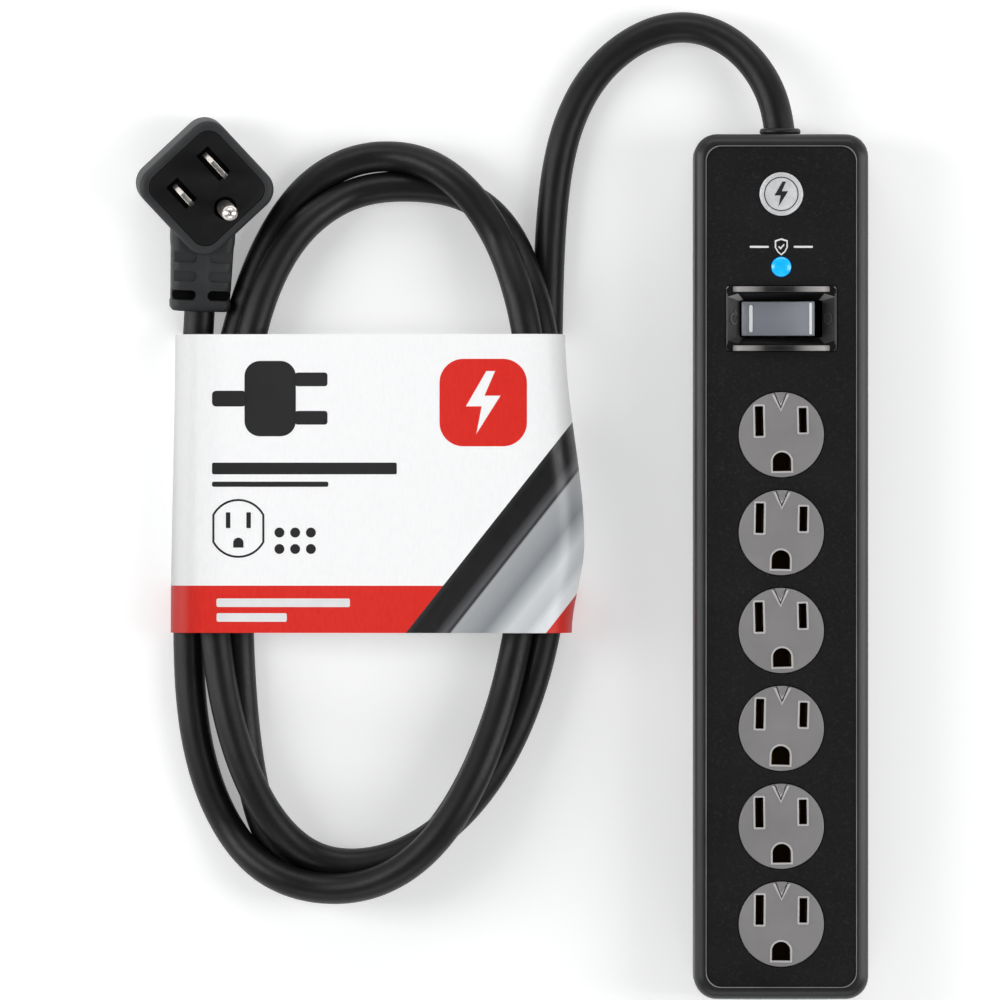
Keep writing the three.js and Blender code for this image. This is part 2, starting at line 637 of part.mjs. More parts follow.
function labelSleeve() {
  const width = SLEEVE.x1 - SLEEVE.x0;
  const middle = (SLEEVE.x0 + SLEEVE.x1) / 2;
  const outer = roundedRectangle(width, SLEEVE.height, SLEEVE.corner, middle, SLEEVE.height / 2);
  outer.holes.push(roundedRectangle(
    width - 2 * SLEEVE.paper,
    SLEEVE.height - 2 * SLEEVE.paper,
    SLEEVE.corner - SLEEVE.paper,
    middle,
    SLEEVE.height / 2,
  ));
  return profileAlongY(outer, SLEEVE.y0, SLEEVE.y1, 4);
}

add('cord_lead', tube(LEAD_ROUTE, CORD_RADIUS, 18, CORD_SIDES), look.blackVinyl);
add('cord_coil', cordCoil(), look.blackVinyl);
add('label_sleeve', labelSleeve(), look.paper);

// ---------------------------------------------------------------- plug
// The plug lies pins-up. Its own frame has X across the two blades and the ground pin at -Y.
const plugTurn = new THREE.Group();
plugTurn.position.set(PLUG.x, PLUG.y, PLUG.lift);
plugTurn.rotation.z = THREE.MathUtils.degToRad(PLUG.yaw);
const plugGroup = new THREE.Group();
plugGroup.rotation.x = THREE.MathUtils.degToRad(PLUG.tilt);
plugTurn.add(plugGroup);
root.add(plugTurn);

// The cord leaves the plug between its ground side and its line side, at 45 degrees to both.
const CORD_DIRECTION = -Math.PI / 4;

function strainRelief() {
  const { length, startWidth, endWidth, edge } = RELIEF;
  const outline = polygon([
    [-startWidth / 2 + edge, -10], [-endWidth / 2 + edge, -length + edge],
    [endWidth / 2 - edge, -length + edge], [startWidth / 2 - edge, -10],
  ]);
  const [bottom, top] = [RELIEF.z - RELIEF.height / 2, RELIEF.z + RELIEF.height / 2];
  const windows = [-20.6, -26.4, -32.2].flatMap((y) => [-4.9, 4.9].map(
    (x) => block(6.6, 3, top - 3.4, top + 1, x, y),
  ));
  return cut(roundedPlate(outline, bottom, top, edge, 2), ...windows).rotateZ(CORD_DIRECTION);
}

function plugBody() {
  const { side, corner, edge, height } = PLUG;
  const outline = roundedRectangle(side - 2 * edge, side - 2 * edge, corner - edge);
  const shell = join(roundedPlate(outline, 0, height, edge, 2), strainRelief());
  const recess = roundedRectangle(CORE.side + 2 * GAP, CORE.side + 2 * GAP, CORE.corner + GAP);
  return cut(shell, plate(recess, height - CORE.depth, height + 1));
}

function plugCore() {
  const [bottom, top] = [PLUG.height - CORE.depth + GAP, PLUG.height + 0.1];
  const face = plate(roundedRectangle(CORE.side, CORE.side, CORE.corner), bottom, top);
  const bladeHole = (x, width) => block(BLADE.thickness + 2 * GAP, width + 2 * GAP, 0, 30, x, BLADE_LINE);
  return cut(
    face,
    bladeHole(-BLADE_SPACING / 2, BLADE.lineWidth),
    bladeHole(BLADE_SPACING / 2, BLADE.neutralWidth),
    disc(GROUND_PIN.radius + GAP, 0, 30, 0, GROUND_PIN_LINE, 16),
  );
}

// A flat blade in the YZ plane with a tapered tip and a round hole near it.
function blade(x, width) {
  const [z0, z1] = [PLUG.height - CORE.depth + GAP, PLUG.height + BLADE.length];
  const half = width / 2;
  const outline = polygon([
    [-half, z0], [half, z0], [half, z1 - 2], [half - 1.4, z1], [1.4 - half, z1], [-half, z1 - 2],
  ]);
  const hole = new THREE.Path();
  hole.absarc(0, z1 - 5.5, 1.6, 0, Math.PI * 2, true);
  outline.holes.push(hole);
  return profileAlongY(outline, -BLADE.thickness / 2, BLADE.thickness / 2)
    .rotateZ(Math.PI / 2)
    .translate(x, BLADE_LINE, 0);
}

function groundPin() {
  const r = GROUND_PIN.radius;
  const [z0, z1] = [PLUG.height - CORE.depth + GAP, PLUG.height + GROUND_PIN.length];
  const profile = [[0, z0], [r, z0], [r, z1 - 2.4], [r * 0.72, z1 - 0.8], [0, z1]];
  const pin = new THREE.LatheGeometry(profile.map(([x, z]) => new THREE.Vector2(x, z)), 16);
  return pin.rotateX(Math.PI / 2).translate(0, GROUND_PIN_LINE, 0);
}

add('plug_body', plugBody(), look.plugVinyl, plugGroup);
add('plug_core', plugCore(), look.blackPlastic, plugGroup);
add('plug_line_blade', blade(-BLADE_SPACING / 2, BLADE.lineWidth), look.nickel, plugGroup);
add('plug_neutral_blade', blade(BLADE_SPACING / 2, BLADE.neutralWidth), look.nickel, plugGroup);
add('plug_ground_pin', groundPin(), look.nickel, plugGroup);

// The lead's last stretch, from the strain relief's mouth down into the coil.
function cordTail() {
  plugTurn.updateMatrixWorld(true);
  const axis = new THREE.Vector3(0, -RELIEF.length - GAP - 0.3, RELIEF.z);
  const mouth = axis.applyAxisAngle(new THREE.Vector3(0, 0, 1), CORD_DIRECTION);
  const start = plugGroup.localToWorld(mouth).toArray();
  const [x, y, z] = start;
  const route = [
    start,
    [x - 0.5, y - 8, z - 0.8],
    [TAIL_END.x + 0.3, y - 20, 5.6],
    [TAIL_END.x, TAIL_END.y + 6, 5.4],
    [TAIL_END.x, TAIL_END.y + GAP, 5.4],
  ];
  return tube(route, CORD_RADIUS, 6, CORD_SIDES);
}

add('cord_tail', cordTail(), look.blackVinyl);

export default root;
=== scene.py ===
import json
from contextlib import contextmanager
from math import atan2, copysign, cos, pi, radians, sin, sqrt

import bmesh
import bpy
import numpy as np
from mathutils import Matrix, Vector
from mathutils.kdtree import KDTree


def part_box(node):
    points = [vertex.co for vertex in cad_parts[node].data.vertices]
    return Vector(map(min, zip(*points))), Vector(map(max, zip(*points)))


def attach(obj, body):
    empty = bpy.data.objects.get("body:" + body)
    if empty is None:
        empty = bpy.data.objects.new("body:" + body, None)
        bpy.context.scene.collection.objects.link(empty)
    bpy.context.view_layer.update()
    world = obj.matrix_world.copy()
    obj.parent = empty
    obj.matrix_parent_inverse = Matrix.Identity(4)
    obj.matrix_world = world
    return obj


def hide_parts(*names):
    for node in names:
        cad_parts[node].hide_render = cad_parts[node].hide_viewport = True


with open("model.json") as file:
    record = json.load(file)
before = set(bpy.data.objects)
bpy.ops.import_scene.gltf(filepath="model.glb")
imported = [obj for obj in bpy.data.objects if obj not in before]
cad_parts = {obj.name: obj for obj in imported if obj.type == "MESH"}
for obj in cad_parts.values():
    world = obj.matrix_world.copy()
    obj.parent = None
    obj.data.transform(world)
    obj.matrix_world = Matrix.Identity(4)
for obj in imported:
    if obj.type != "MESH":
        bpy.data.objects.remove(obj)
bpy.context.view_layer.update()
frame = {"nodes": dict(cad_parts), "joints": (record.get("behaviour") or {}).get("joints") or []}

MM = 0.001
scene = bpy.context.scene


# ---------------------------------------------------------------- places from the frame
def box_mm(node):
    """A CAD node's lowest and highest corners in millimetres."""
    return [[value / MM for value in corner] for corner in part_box(node)]


def centre_mm(node):
    low, high = box_mm(node)
    return [(a + b) / 2 for a, b in zip(low, high)]


def top_mm(node):
    return box_mm(node)[1][2]


OUTLET_COUNT = 6
OUTLET_NODES = [f"outlet_face_{i + 1}" for i in range(OUTLET_COUNT)]
CASE_LOW, CASE_HIGH = box_mm("top_cover")
CASE_WIDTH = CASE_HIGH[0] - CASE_LOW[0]
CASE_LENGTH = CASE_HIGH[1] - CASE_LOW[1]
CASE_TOP = 32.0
CASE_EDGE = 3.4            # rounding of the long edges
CASE_CORNER = 6.6          # plan radius of the corners
CASE_WALL = 2.2
BASE_TOP = top_mm("base_shell")
COVER_FOOT = CASE_LOW[2]
PANEL_INSET = 3.6
PANEL_TOP = 31.6
PANEL_UNDERSIDE = 29.2
FLOOR_THICKNESS = 2.4

SWITCH_Y = centre_mm("switch_bezel")[1]
ROCKER_PIVOT = [value / MM for value in frame["joints"][0]["pos_m"]]
ROCKER_REST_TILT = -9
LENS_Y = centre_mm("status_lens")[1]
BADGE_Y = centre_mm("badge_disc")[1]
PICTOGRAM_Y = 93.1
COLLAR_MOUTH_Y = box_mm("cord_collar")[1][1]
CORD_EXIT_Z = centre_mm("cord_collar")[2]

# The plug lies pins-up, turned and tipped about its own centre.
PLUG_PLACE = (-169.2, 112.2, 1.95)
PLUG_YAW, PLUG_TIP = 43, 8
PLUG_CORD_TURN = -45       # the cord's way out of the plug, in the plug's own frame


def turn(degrees, axis):
    return Matrix.Rotation(radians(degrees), 4, axis)


def plug_matrix():
    """From the plug's own frame to the whole object's, in millimetres."""
    return Matrix.Translation(PLUG_PLACE) @ turn(PLUG_YAW, "Z") @ turn(PLUG_TIP, "X")


def shown(name, data):
    """A new object in the scene."""
    thing = bpy.data.objects.new(name, data)
    scene.collection.objects.link(thing)
    return thing


def belongs(piece, slot, *nodes, body="strip"):
    """Says which body a piece rides on and which CAD nodes it replaces; the slot, for what it is made of, is
    not used.
    """
    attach(piece, body)
    if nodes:
        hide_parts(*nodes)
    return piece


# ---------------------------------------------------------------- camera and lights
FRAME_CENTRE = (-0.0819, 0.0194)
FRAME_WIDTH = 0.2924
CAMERA_LENS = 500
SENSOR = 36
AIM_HEIGHT = 0.014


def make_camera():
    data = bpy.data.cameras.new("camera")
    data.lens = CAMERA_LENS
    data.sensor_width = SENSOR
    data.clip_start = 0.1
    data.clip_end = 20
    camera = shown("camera", data)
    distance = FRAME_WIDTH * CAMERA_LENS / SENSOR
    camera.location = (*FRAME_CENTRE, AIM_HEIGHT + distance)
    scene.camera = camera


def softbox(name, place, size, power):
    """A rectangular light, aimed at the middle of the view; metres and watts."""
    data = bpy.data.lights.new(name, "AREA")
    data.shape = "RECTANGLE"
    data.size, data.size_y = size
    data.energy = power
    light = shown(name, data)
    light.location = place
    towards = Vector((*FRAME_CENTRE, 0)) - Vector(place)
    light.rotation_euler = towards.to_track_quat("-Z", "Y").to_euler()


def make_lights():
    softbox("softbox_left", (-1.15, 0.15, 0.62), (0.5, 1.5), 10.5)
    softbox("softbox_right", (1.0, 0.0, 0.62), (0.5, 1.5), 10.5)
    softbox("softbox_far", (-0.1, 1.2, 0.75), (1.4, 0.5), 5.6)
    softbox("softbox_near", (-0.1, -1.2, 0.75), (1.4, 0.5), 4.4)


def make_world():
    """A studio that is pale at the horizon and dark overhead."""
    world = bpy.data.worlds.new("studio")
    scene.world = world
    world.use_nodes = True
    nodes, links = world.node_tree.nodes, world.node_tree.links
    nodes.clear()
    coords = nodes.new("ShaderNodeTexCoord")
    split = nodes.new("ShaderNodeSeparateXYZ")
    ramp = nodes.new("ShaderNodeValToRGB")
    ramp.color_ramp.elements[0].position = 0.0
    ramp.color_ramp.elements[0].color = (0.95, 0.96, 0.98, 1)
    ramp.color_ramp.elements[1].position = 0.75
    ramp.color_ramp.elements[1].color = (0.2, 0.205, 0.215, 1)
    background = nodes.new("ShaderNodeBackground")
    background.inputs["Strength"].default_value = 0.62
    output = nodes.new("ShaderNodeOutputWorld")
    links.new(coords.outputs["Generated"], split.inputs[0])
    links.new(split.outputs["Z"], ramp.inputs[0])
    links.new(ramp.outputs[0], background.inputs["Color"])
    links.new(background.outputs[0], output.inputs[0])


# ---------------------------------------------------------------- materials
def srgb(code):
    """A linear colour from a hexadecimal screen colour."""
    values = [int(code[i:i + 2], 16) / 255 for i in (0, 2, 4)]
    return tuple(v / 12.92 if v <= 0.04045 else ((v + 0.055) / 1.055) ** 2.4 for v in values) + (1,)


PAPER_FIBRES = (0.7, 6, (1, 0.25, 1))     # noise size, detail and stretch
# painted shade: how dark the paper is made on the sleeve's sides
PAINTED_SIDE_SHADE = 0.42           # the sleeve's sides, as a share of the paper's colour


class Finish:
    """A Principled material with its node tree at hand."""

    def __init__(self, name):
        self.material = bpy.data.materials.new(name)
        self.material.use_nodes = True
        self.nodes = self.material.node_tree.nodes
        self.links = self.material.node_tree.links
        self.shader = self.nodes["Principled BSDF"]
        self.coords = self.nodes.new("ShaderNodeTexCoord").outputs["Object"]

    def set(self, **sockets):
        for name, value in sockets.items():
            self.shader.inputs[name.replace("_", " ")].default_value = value
        return self

    def stretched(self, stretch):
        mapping = self.nodes.new("ShaderNodeMapping")
        mapping.inputs["Scale"].default_value = stretch
        self.links.new(self.coords, mapping.inputs[0])
        return mapping.outputs[0]

    def noise(self, size, detail=4, stretch=(1, 1, 1)):
        """Noise whose features are about `size` millimetres across."""
        texture = self.nodes.new("ShaderNodeTexNoise")
        texture.inputs["Scale"].default_value = 1 / (size * MM)
        texture.inputs["Detail"].default_value = detail
        self.links.new(self.stretched(stretch), texture.inputs["Vector"])
        return texture.outputs["Fac"]

    def ramp(self, source, stops):
        """A colour ramp of (position, colour) stops."""
        node = self.nodes.new("ShaderNodeValToRGB")
        elements = node.color_ramp.elements
        elements[0].position, elements[0].color = stops[0]
        elements[1].position, elements[1].color = stops[-1]
        for position, colour in stops[1:-1]:
            elements.new(position).color = colour
        self.links.new(source, node.inputs[0])
        return node.outputs[0]

    def span(self, source, low, high, start=0.3, end=0.7):
        node = self.nodes.new("ShaderNodeMapRange")
        node.inputs["From Min"].default_value = start
        node.inputs["From Max"].default_value = end
        node.inputs["To Min"].default_value = low
        node.inputs["To Max"].default_value = high
        self.links.new(source, node.inputs["Value"])
        return node.outputs[0]

    def mix(self, amount, first, second):
        node = self.nodes.new("ShaderNodeMix")
        node.data_type = "RGBA"
        sockets = {socket.identifier: socket for socket in [*node.inputs, *node.outputs]}
        self.links.new(amount, sockets["Factor_Float"])
        self.links.new(first, sockets["A_Color"])
        self.links.new(second, sockets["B_Color"])
        return sockets["Result_Color"]

    def tinted(self, source, amount):
        """The source colour made darker."""
        node = self.nodes.new("ShaderNodeVectorMath")
        node.operation = "SCALE"
        node.inputs["Scale"].default_value = amount
        self.links.new(source, node.inputs[0])
        return node.outputs[0]

    def across(self, left, right):
        """0 to 1 along X, between two places in millimetres."""
        split = self.nodes.new("ShaderNodeSeparateXYZ")
        self.links.new(self.coords, split.inputs[0])
        return self.span(split.outputs["X"], 0, 1, left * MM, right * MM)

    def painted_side_shade(self):
        """Painted shade: 0 on the sleeve's top, rising to 1 at its left and right sides."""
        left_side = [(0, 1), (0.02, 0.6), (0.07, 0.12), (0.14, 0)]
        right_side = [(0.84, 0), (0.93, 0.12), (0.98, 0.5), (1, 1)]
        stops = [(at, (tone, tone, tone, 1)) for at, tone in left_side + right_side]
        return self.ramp(self.across(SLEEVE_LEFT, SLEEVE_RIGHT), stops)

    def to(self, socket, source):
        self.links.new(source, self.shader.inputs[socket])
        return self

    def bump(self, source, height, strength=1.0):
        """Relief of `height` millimetres."""
        node = self.nodes.new("ShaderNodeBump")
        node.inputs["Distance"].default_value = height * MM
        node.inputs["Strength"].default_value = strength
        self.links.new(source, node.inputs["Height"])
        self.links.new(node.outputs[0], self.shader.inputs["Normal"])
        return self


def moulded(name, dark, light, rough, grain=0.5, relief=0.02, patch=14, metallic=0.0, shine=0.5):
    """Plastic, rubber or metal with soft patches of tone, fine grain and uneven gloss."""
    finish = Finish(name).set(Metallic=metallic, Specular_IOR_Level=shine)
    patches = finish.noise(patch, 5)
    grains = finish.noise(grain, 3)
    finish.to("Base Color", finish.ramp(patches, [(0.3, srgb(dark)), (0.7, srgb(light))]))
    finish.to("Roughness", finish.span(grains, *rough))
    return finish.bump(grains, relief)


def panel_plastic():
    """Black pebbled plastic with scattered light specks."""
    finish = Finish("panel_plastic").set(Specular_IOR_Level=0.2)
    grains = finish.noise(0.55, 6)
    patches = finish.noise(22, 3)
    specks = finish.noise(0.8, 8)
    dark = finish.ramp(patches, [(0.3, srgb("0b0b0c")), (0.7, srgb("121213"))])
    light = finish.ramp(grains, [(0.35, srgb("0f0f10")), (0.65, srgb("242426"))])
    amount = finish.span(specks, 0, 1, 0.52, 0.7)
    finish.to("Base Color", finish.mix(amount, dark, light))
    finish.to("Roughness", finish.span(grains, 0.5, 0.75))
    return finish.bump(grains, 0.05).material


def ridge_plastic():
    """Glossy dark plastic with painted highlights towards both ends of a ridge."""
    finish = Finish("guard_ridge_painted_highlights").set(Roughness=0.3)
    # painted highlights: pale stops at both ends of the ridge, dark in its middle
    highlight_tones = [
        (0, "6e6b69"), (0.05, "a5a2a0"), (0.2, "8a8785"), (0.34, "2b2929"), (0.5, "151414"),
        (0.62, "2f2d2d"), (0.78, "8f8c8a"), (0.94, "aca9a7"), (1, "6e6b69"),
    ]
    place = finish.across(-RIDGE_HALF, RIDGE_HALF)
    finish.to("Base Color", finish.ramp(place, [(at, srgb(code)) for at, code in highlight_tones]))
    return finish.bump(finish.noise(0.6, 3), 0.01).material


def make_materials():
    made = {
        "rim": moulded("rim_plastic", "1a1a1b", "212122", (0.34, 0.44), 0.3, 0.006, shine=0.4),
        "base": moulded("base_plastic", "141415", "1b1b1c", (0.45, 0.6), 0.4, 0.015, shine=0.3),
        "outlet": moulded("outlet_plastic", "7f7d7d", "888686", (0.42, 0.52), 0.35, 0.006, shine=0.35),
        # a paler copy of the outlet grey: painted highlight on the raised lips and the V
        "lip": moulded("outlet_lip_painted_highlight", "b4b1b0", "bdbab9", (0.35, 0.45), 0.35, 0.004),
        "switch_black": moulded("switch_plastic", "0a0a0b", "101011", (0.35, 0.5), 0.35, 0.02, shine=0.2),
        # a lit grey copy of the switch plastic, for the funnel's ends
        "funnel": moulded("funnel_painted_lit_plastic", "303031", "414142", (0.42, 0.6), 0.4, 0.04, shine=0.3),
        # a pale grey that is painted highlight, for the panel's edge line and the switch's far hips
        "painted_highlight": moulded("rim_edge_painted_highlight", "767573", "8e8d8b", (0.3, 0.4), 0.3, 0.006),
        "ridge": moulded("ridge_plastic", "3a3838", "464444", (0.3, 0.42), 0.4, 0.01, shine=0.5),
        "rocker": moulded("rocker_plastic", "787b83", "82858d", (0.3, 0.4), 0.3, 0.004),
        "rocker_mark": moulded("rocker_mark_paint", "d9dadc", "e6e7e8", (0.35, 0.45), 0.3, 0.004),
        "ink_white": moulded("white_ink", "dcdcdc", "efefef", (0.5, 0.6), 0.3, 0.004),
        "ink_dark": moulded("dark_ink", "08080a", "111113", (0.5, 0.6), 0.3, 0.004),
        "badge": moulded("badge_silver", "d6d6d8", "eeeeef", (0.25, 0.4), 0.25, 0.006, 3, 0.25),
        "cord": moulded("cord_vinyl", "0e0e0f", "161617", (0.36, 0.48), 0.8, 0.03, 9, shine=0.3),
        "plug": moulded("plug_vinyl", "2b2c2d", "333435", (0.5, 0.62), 0.4, 0.02, shine=0.3),
        "plug_face": moulded("plug_face_plastic", "101011", "161617", (0.4, 0.55), 0.5, 0.03, shine=0.2),
        # near-black, for painted shade in the plug's recesses and windows
        "plug_painted_shade": moulded("plug_recess_painted_shade", "050505", "080808", (0.6, 0.75), 0.5, 0.02, shine=0.1),
        "nickel": moulded("pin_nickel", "cfc8c1", "efeae5", (0.24, 0.36), 0.5, 0.003, 3, 1.0),
        "steel": moulded("screw_steel", "8e9094", "a9abb0", (0.25, 0.4), 0.3, 0.01, 4, 1.0),
        # brass made much darker than its own colour: painted shade for the slots it shows through
        "brass": moulded("contact_brass", "4a3416", "6b4d22", (0.35, 0.5), 0.5, 0.01, 6, 0.9),
        "insulator": moulded("insulator_plastic", "cfcabb", "dedacd", (0.5, 0.65), 0.5, 0.02),
        "board": moulded("board_laminate", "184a2e", "226a42", (0.35, 0.5), 1.0, 0.01, 5),
        "varistor": moulded("varistor_coating", "1f5f9e", "2d76bd", (0.4, 0.55), 0.7, 0.03),
        "resin": moulded("led_resin", "9fcdea", "c3e3f5", (0.1, 0.2), 0.6, 0.004),
        "component": moulded("component_body", "b9b2a0", "cfc8b6", (0.45, 0.6), 0.4, 0.01),
        "black_wire": moulded("black_wire_vinyl", "121213", "1c1c1d", (0.4, 0.55), 0.6, 0.01),
        "white_wire": moulded("white_wire_vinyl", "dedcd6", "ecebe6", (0.4, 0.55), 0.6, 0.01),
        "green_wire": moulded("green_wire_vinyl", "1f7038", "2d8d4a", (0.4, 0.55), 0.6, 0.01),
    }
    looks = {name: finish.material for name, finish in made.items()}
    looks["panel"] = panel_plastic()
    looks["guard_ridge"] = ridge_plastic()
    looks["lens"] = lit_lens()
    looks["paper"] = paper("paper_white", "f8f8f8", "fdfdfd")
    looks["paper_red"] = paper("paper_red", "d8241a", "e02b20")
    looks["paper_stripe"] = stripe_ink()
    return looks


def lit_lens():
    """Clear cyan lens with the lamp on behind it."""
    finish = Finish("lens_lit").set(Roughness=0.18, Coat_Weight=0.4)
    cloud = finish.noise(3, 2)
    colour = finish.ramp(cloud, [(0.3, srgb("0796e6")), (0.7, srgb("16a9f2"))])
    finish.to("Base Color", colour)
    finish.to("Emission Color", colour)
    finish.set(Emission_Strength=0.6)
    return finish.bump(finish.noise(0.8, 2), 0.004).material


def paper(name, dark, light):
    """Coated paper with faint fibres, with painted shade where it turns down at its sides."""
    finish = Finish(name).set(Specular_IOR_Level=0.3)
    fibres = finish.noise(*PAPER_FIBRES)
    plain = finish.ramp(fibres, [(0.3, srgb(dark)), (0.7, srgb(light))])
    # painted shade: the paper darkened towards the sleeve's left and right sides
    shaded = finish.tinted(plain, PAINTED_SIDE_SHADE)
    finish.to("Base Color", finish.mix(finish.painted_side_shade(), plain, shaded))
    finish.to("Roughness", finish.span(fibres, 0.42, 0.55))
    return finish.bump(fibres, 0.006).material


def stripe_ink():
    """Printed black bar with silver bands beside it; the bands run along the bar."""
    finish = Finish("paper_stripe")
    across = finish.nodes.new("ShaderNodeVectorMath")
    across.operation = "DOT_PRODUCT"
    across.inputs[1].default_value = (*STRIPE_NORMAL, 0)
    finish.links.new(finish.coords, across.inputs[0])
    place = finish.span(across.outputs["Value"], 0, 1, STRIPE_START * MM, STRIPE_END * MM)
    black = [(0.0, "2c2c2e"), (0.05, "0a0a0b"), (0.2, "101011"), (0.28, "58585b"), (0.31, "1d1d1f")]
    silver = [
        (0.326, "a8aaac"), (0.45, "9a9da0"), (0.55, "85898c"), (0.66, "b9bdbf"),
        (0.72, "d2d5d7"), (0.85, "c5c8ca"), (0.92, "e3e5e7"), (1.0, "e6e8ea"),
    ]
    finish.to("Base Color", finish.ramp(place, [(at, srgb(code)) for at, code in black + silver]))
    fibres = finish.noise(*PAPER_FIBRES)
    finish.to("Roughness", finish.span(fibres, 0.34, 0.46))
    return finish.bump(fibres, 0.006).material


# ---------------------------------------------------------------- mesh helpers
SEAM = 0.002               # points closer than this are one point


@contextmanager
def editing(mesh):
    """The mesh as a bmesh, written back when the block ends."""
    work = bmesh.new()
    work.from_mesh(mesh)
    yield work
    work.to_mesh(mesh)
    work.free()


def cut_along(work, place, direction):
    """Splits every face that crosses a plane."""
    everything = work.verts[:] + work.edges[:] + work.faces[:]
    bmesh.ops.bisect_plane(work, geom=everything, plane_co=place, plane_no=direction)


def evaluated(thing):
    """An object's mesh with its modifiers or curve settings worked out."""
    graph = bpy.context.evaluated_depsgraph_get()
    return bpy.data.meshes.new_from_object(thing.evaluated_get(graph))


def mesh_piece(name, points, faces, materials, smooth_angle=35):
    """An object from points in millimetres; edges sharper than the angle stay crisp."""
    mesh = bpy.data.meshes.new(name)
    mesh.from_pydata([[value * MM for value in point] for point in points], [], faces)
    return finish_piece(name, mesh, materials, smooth_angle)


def finish_piece(name, mesh, materials, smooth_angle=35):
    """An object from a mesh, its loose seams closed and its faces turned outwards."""
    for material in materials if isinstance(materials, (list, tuple)) else [materials]:
        mesh.materials.append(material)
    with editing(mesh) as work:
        bmesh.ops.remove_doubles(work, verts=work.verts, dist=SEAM * MM)
        bmesh.ops.recalc_face_normals(work, faces=work.faces)
    mesh.shade_smooth()
    mesh.set_sharp_from_angle(angle=radians(smooth_angle))
    return shown(name, mesh)


def moved(piece, matrix):
    """Moves a piece's mesh by a matrix in millimetres, so that its object stays at the origin."""
    scale = Matrix.Scale(MM, 4)
    piece.data.transform(scale @ matrix @ scale.inverted())
    return piece


def applied(piece):
    """The piece with its modifiers made part of its mesh."""
    mesh = evaluated(piece)
    piece.modifiers.clear()
    piece.data = mesh
    return piece


def carved(piece, *cutters, smooth_angle=35):
    """The piece less the cutters, which are used up."""
    for cutter in cutters:
        cut = piece.modifiers.new("cut", "BOOLEAN")
        cut.operation = "DIFFERENCE"
        cut.solver = "EXACT"
        cut.object = cutter
    applied(piece)
    for cutter in cutters:
        bpy.data.objects.remove(cutter)
    piece.data.set_sharp_from_angle(angle=radians(smooth_angle))
    return piece


def softened(piece, width, segments=3, angle=40):
    """Rounds the piece's sharp edges by a width in millimetres."""
    bevel = piece.modifiers.new("edges", "BEVEL")
    bevel.width = width * MM
    bevel.segments = segments
    bevel.limit_method = "ANGLE"
    bevel.angle_limit = radians(angle)
    applied(piece)
    piece.data.shade_smooth()
    piece.data.set_sharp_from_angle(angle=radians(angle))
    return piece


def joined(name, *parts):
    """One object of several closed parts that keep their own materials."""
    materials = []
    work = bmesh.new()
    for part in parts:
        shift = []
        for material in part.data.materials:
            if material not in materials:
                materials.append(material)
            shift.append(materials.index(material))
        before = len(work.faces)
        work.from_mesh(part.data)
        work.faces.ensure_lookup_table()
        for face in work.faces[before:]:
            face.material_index = shift[face.material_index]
        bpy.data.objects.remove(part)
    mesh = bpy.data.meshes.new(name)
    work.to_mesh(mesh)
    work.free()
    for material in materials:
        mesh.materials.append(material)
    return shown(name, mesh)


def arc(centre, radius, start, end, steps):
    """Points on an arc, with its angles in degrees."""
    angles = [radians(start + (end - start) * i / steps) for i in range(steps + 1)]
    return [(centre[0] + radius * cos(a), centre[1] + radius * sin(a)) for a in angles]


def rounded_rectangle(width, length, radius, centre=(0, 0), steps=8):
    x, y = width / 2 - radius, length / 2 - radius
    corners = [(x, y, 0), (-x, y, 90), (-x, -y, 180), (x, -y, 270)]
    outline = []
    for across, along, start in corners:
        middle = (centre[0] + across, centre[1] + along)
        outline += arc(middle, radius, start, start + 90, steps)
    return outline


def circle(radius, centre=(0, 0), steps=64):
    return arc(centre, radius, 0, 360 * (steps - 1) / steps, steps - 1)


def band(name, loops, materials, closed_section=False, smooth_angle=35):
    """Skin over loops of equal length: open ends are capped unless the section closes on itself."""
    count = len(loops[0])
    points = [point for loop in loops for point in loop]
    pairs = list(zip(range(len(loops) - 1), range(1, len(loops))))
    if closed_section:
        pairs.append((len(loops) - 1, 0))
    faces = []
    for low, high in pairs:
        for i in range(count):
            j = (i + 1) % count
            faces.append((low * count + i, low * count + j, high * count + j, high * count + i))
    if not closed_section:
        faces.append(tuple(reversed(range(count))))
        faces.append(tuple(range((len(loops) - 1) * count, len(loops) * count)))
    return mesh_piece(name, points, faces, materials, smooth_angle)


def slab(name, outline, z0, z1, materials, holes=(), edge=0.0, edge_steps=3):
    """A flat plate with through holes, its edges rounded all round."""
    curve = bpy.data.curves.new(name, "CURVE")
    curve.dimensions = "2D"
    curve.fill_mode = "BOTH"
    for points in (outline, *holes):
        spline = curve.splines.new("POLY")
        spline.points.add(len(points) - 1)
        for place, (x, y) in zip(spline.points, points):
            place.co = (x * MM, y * MM, 0, 1)
        spline.use_cyclic_u = True
    curve.extrude = (z1 - z0) / 2 * MM - edge * MM
    curve.bevel_depth = edge * MM
    curve.bevel_resolution = edge_steps
    curve.offset = -edge * MM
    drawn = shown(name, curve)
    mesh = evaluated(drawn)
    bpy.data.objects.remove(drawn)
    mesh.transform(Matrix.Translation((0, 0, (z0 + z1) / 2 * MM)))
    mesh.materials.clear()
    return finish_piece(name, mesh, materials)


def turned(name, profile, centre, materials, axis="Z", steps=64):
    """A solid of revolution from (radius, height) points; both ends of the profile are on the axis."""
    rings = [[(r * cos(2 * pi * i / steps), r * sin(2 * pi * i / steps), h) for i in range(steps)]
             for r, h in profile]
    piece = band(name, rings, materials)
    if axis == "Y":
        moved(piece, turn(-90, "X"))
    return moved(piece, Matrix.Translation(centre))


def swept(name, outline, low, high, materials, across="Y", edge=0.0):
    """An outline in the XZ plane (YZ where it runs across X), given thickness from low to high."""
    upright = turn(90, "X")
    if across == "Y":
        return moved(slab(name, outline, -high, -low, materials, edge=edge), upright)
    return moved(slab(name, outline, low, high, materials, edge=edge), turn(90, "Z") @ upright)


# ---------------------------------------------------------------- the free cord
CORD_DIAMETER = 0.009
CORD_RADIUS = CORD_DIAMETER / 2
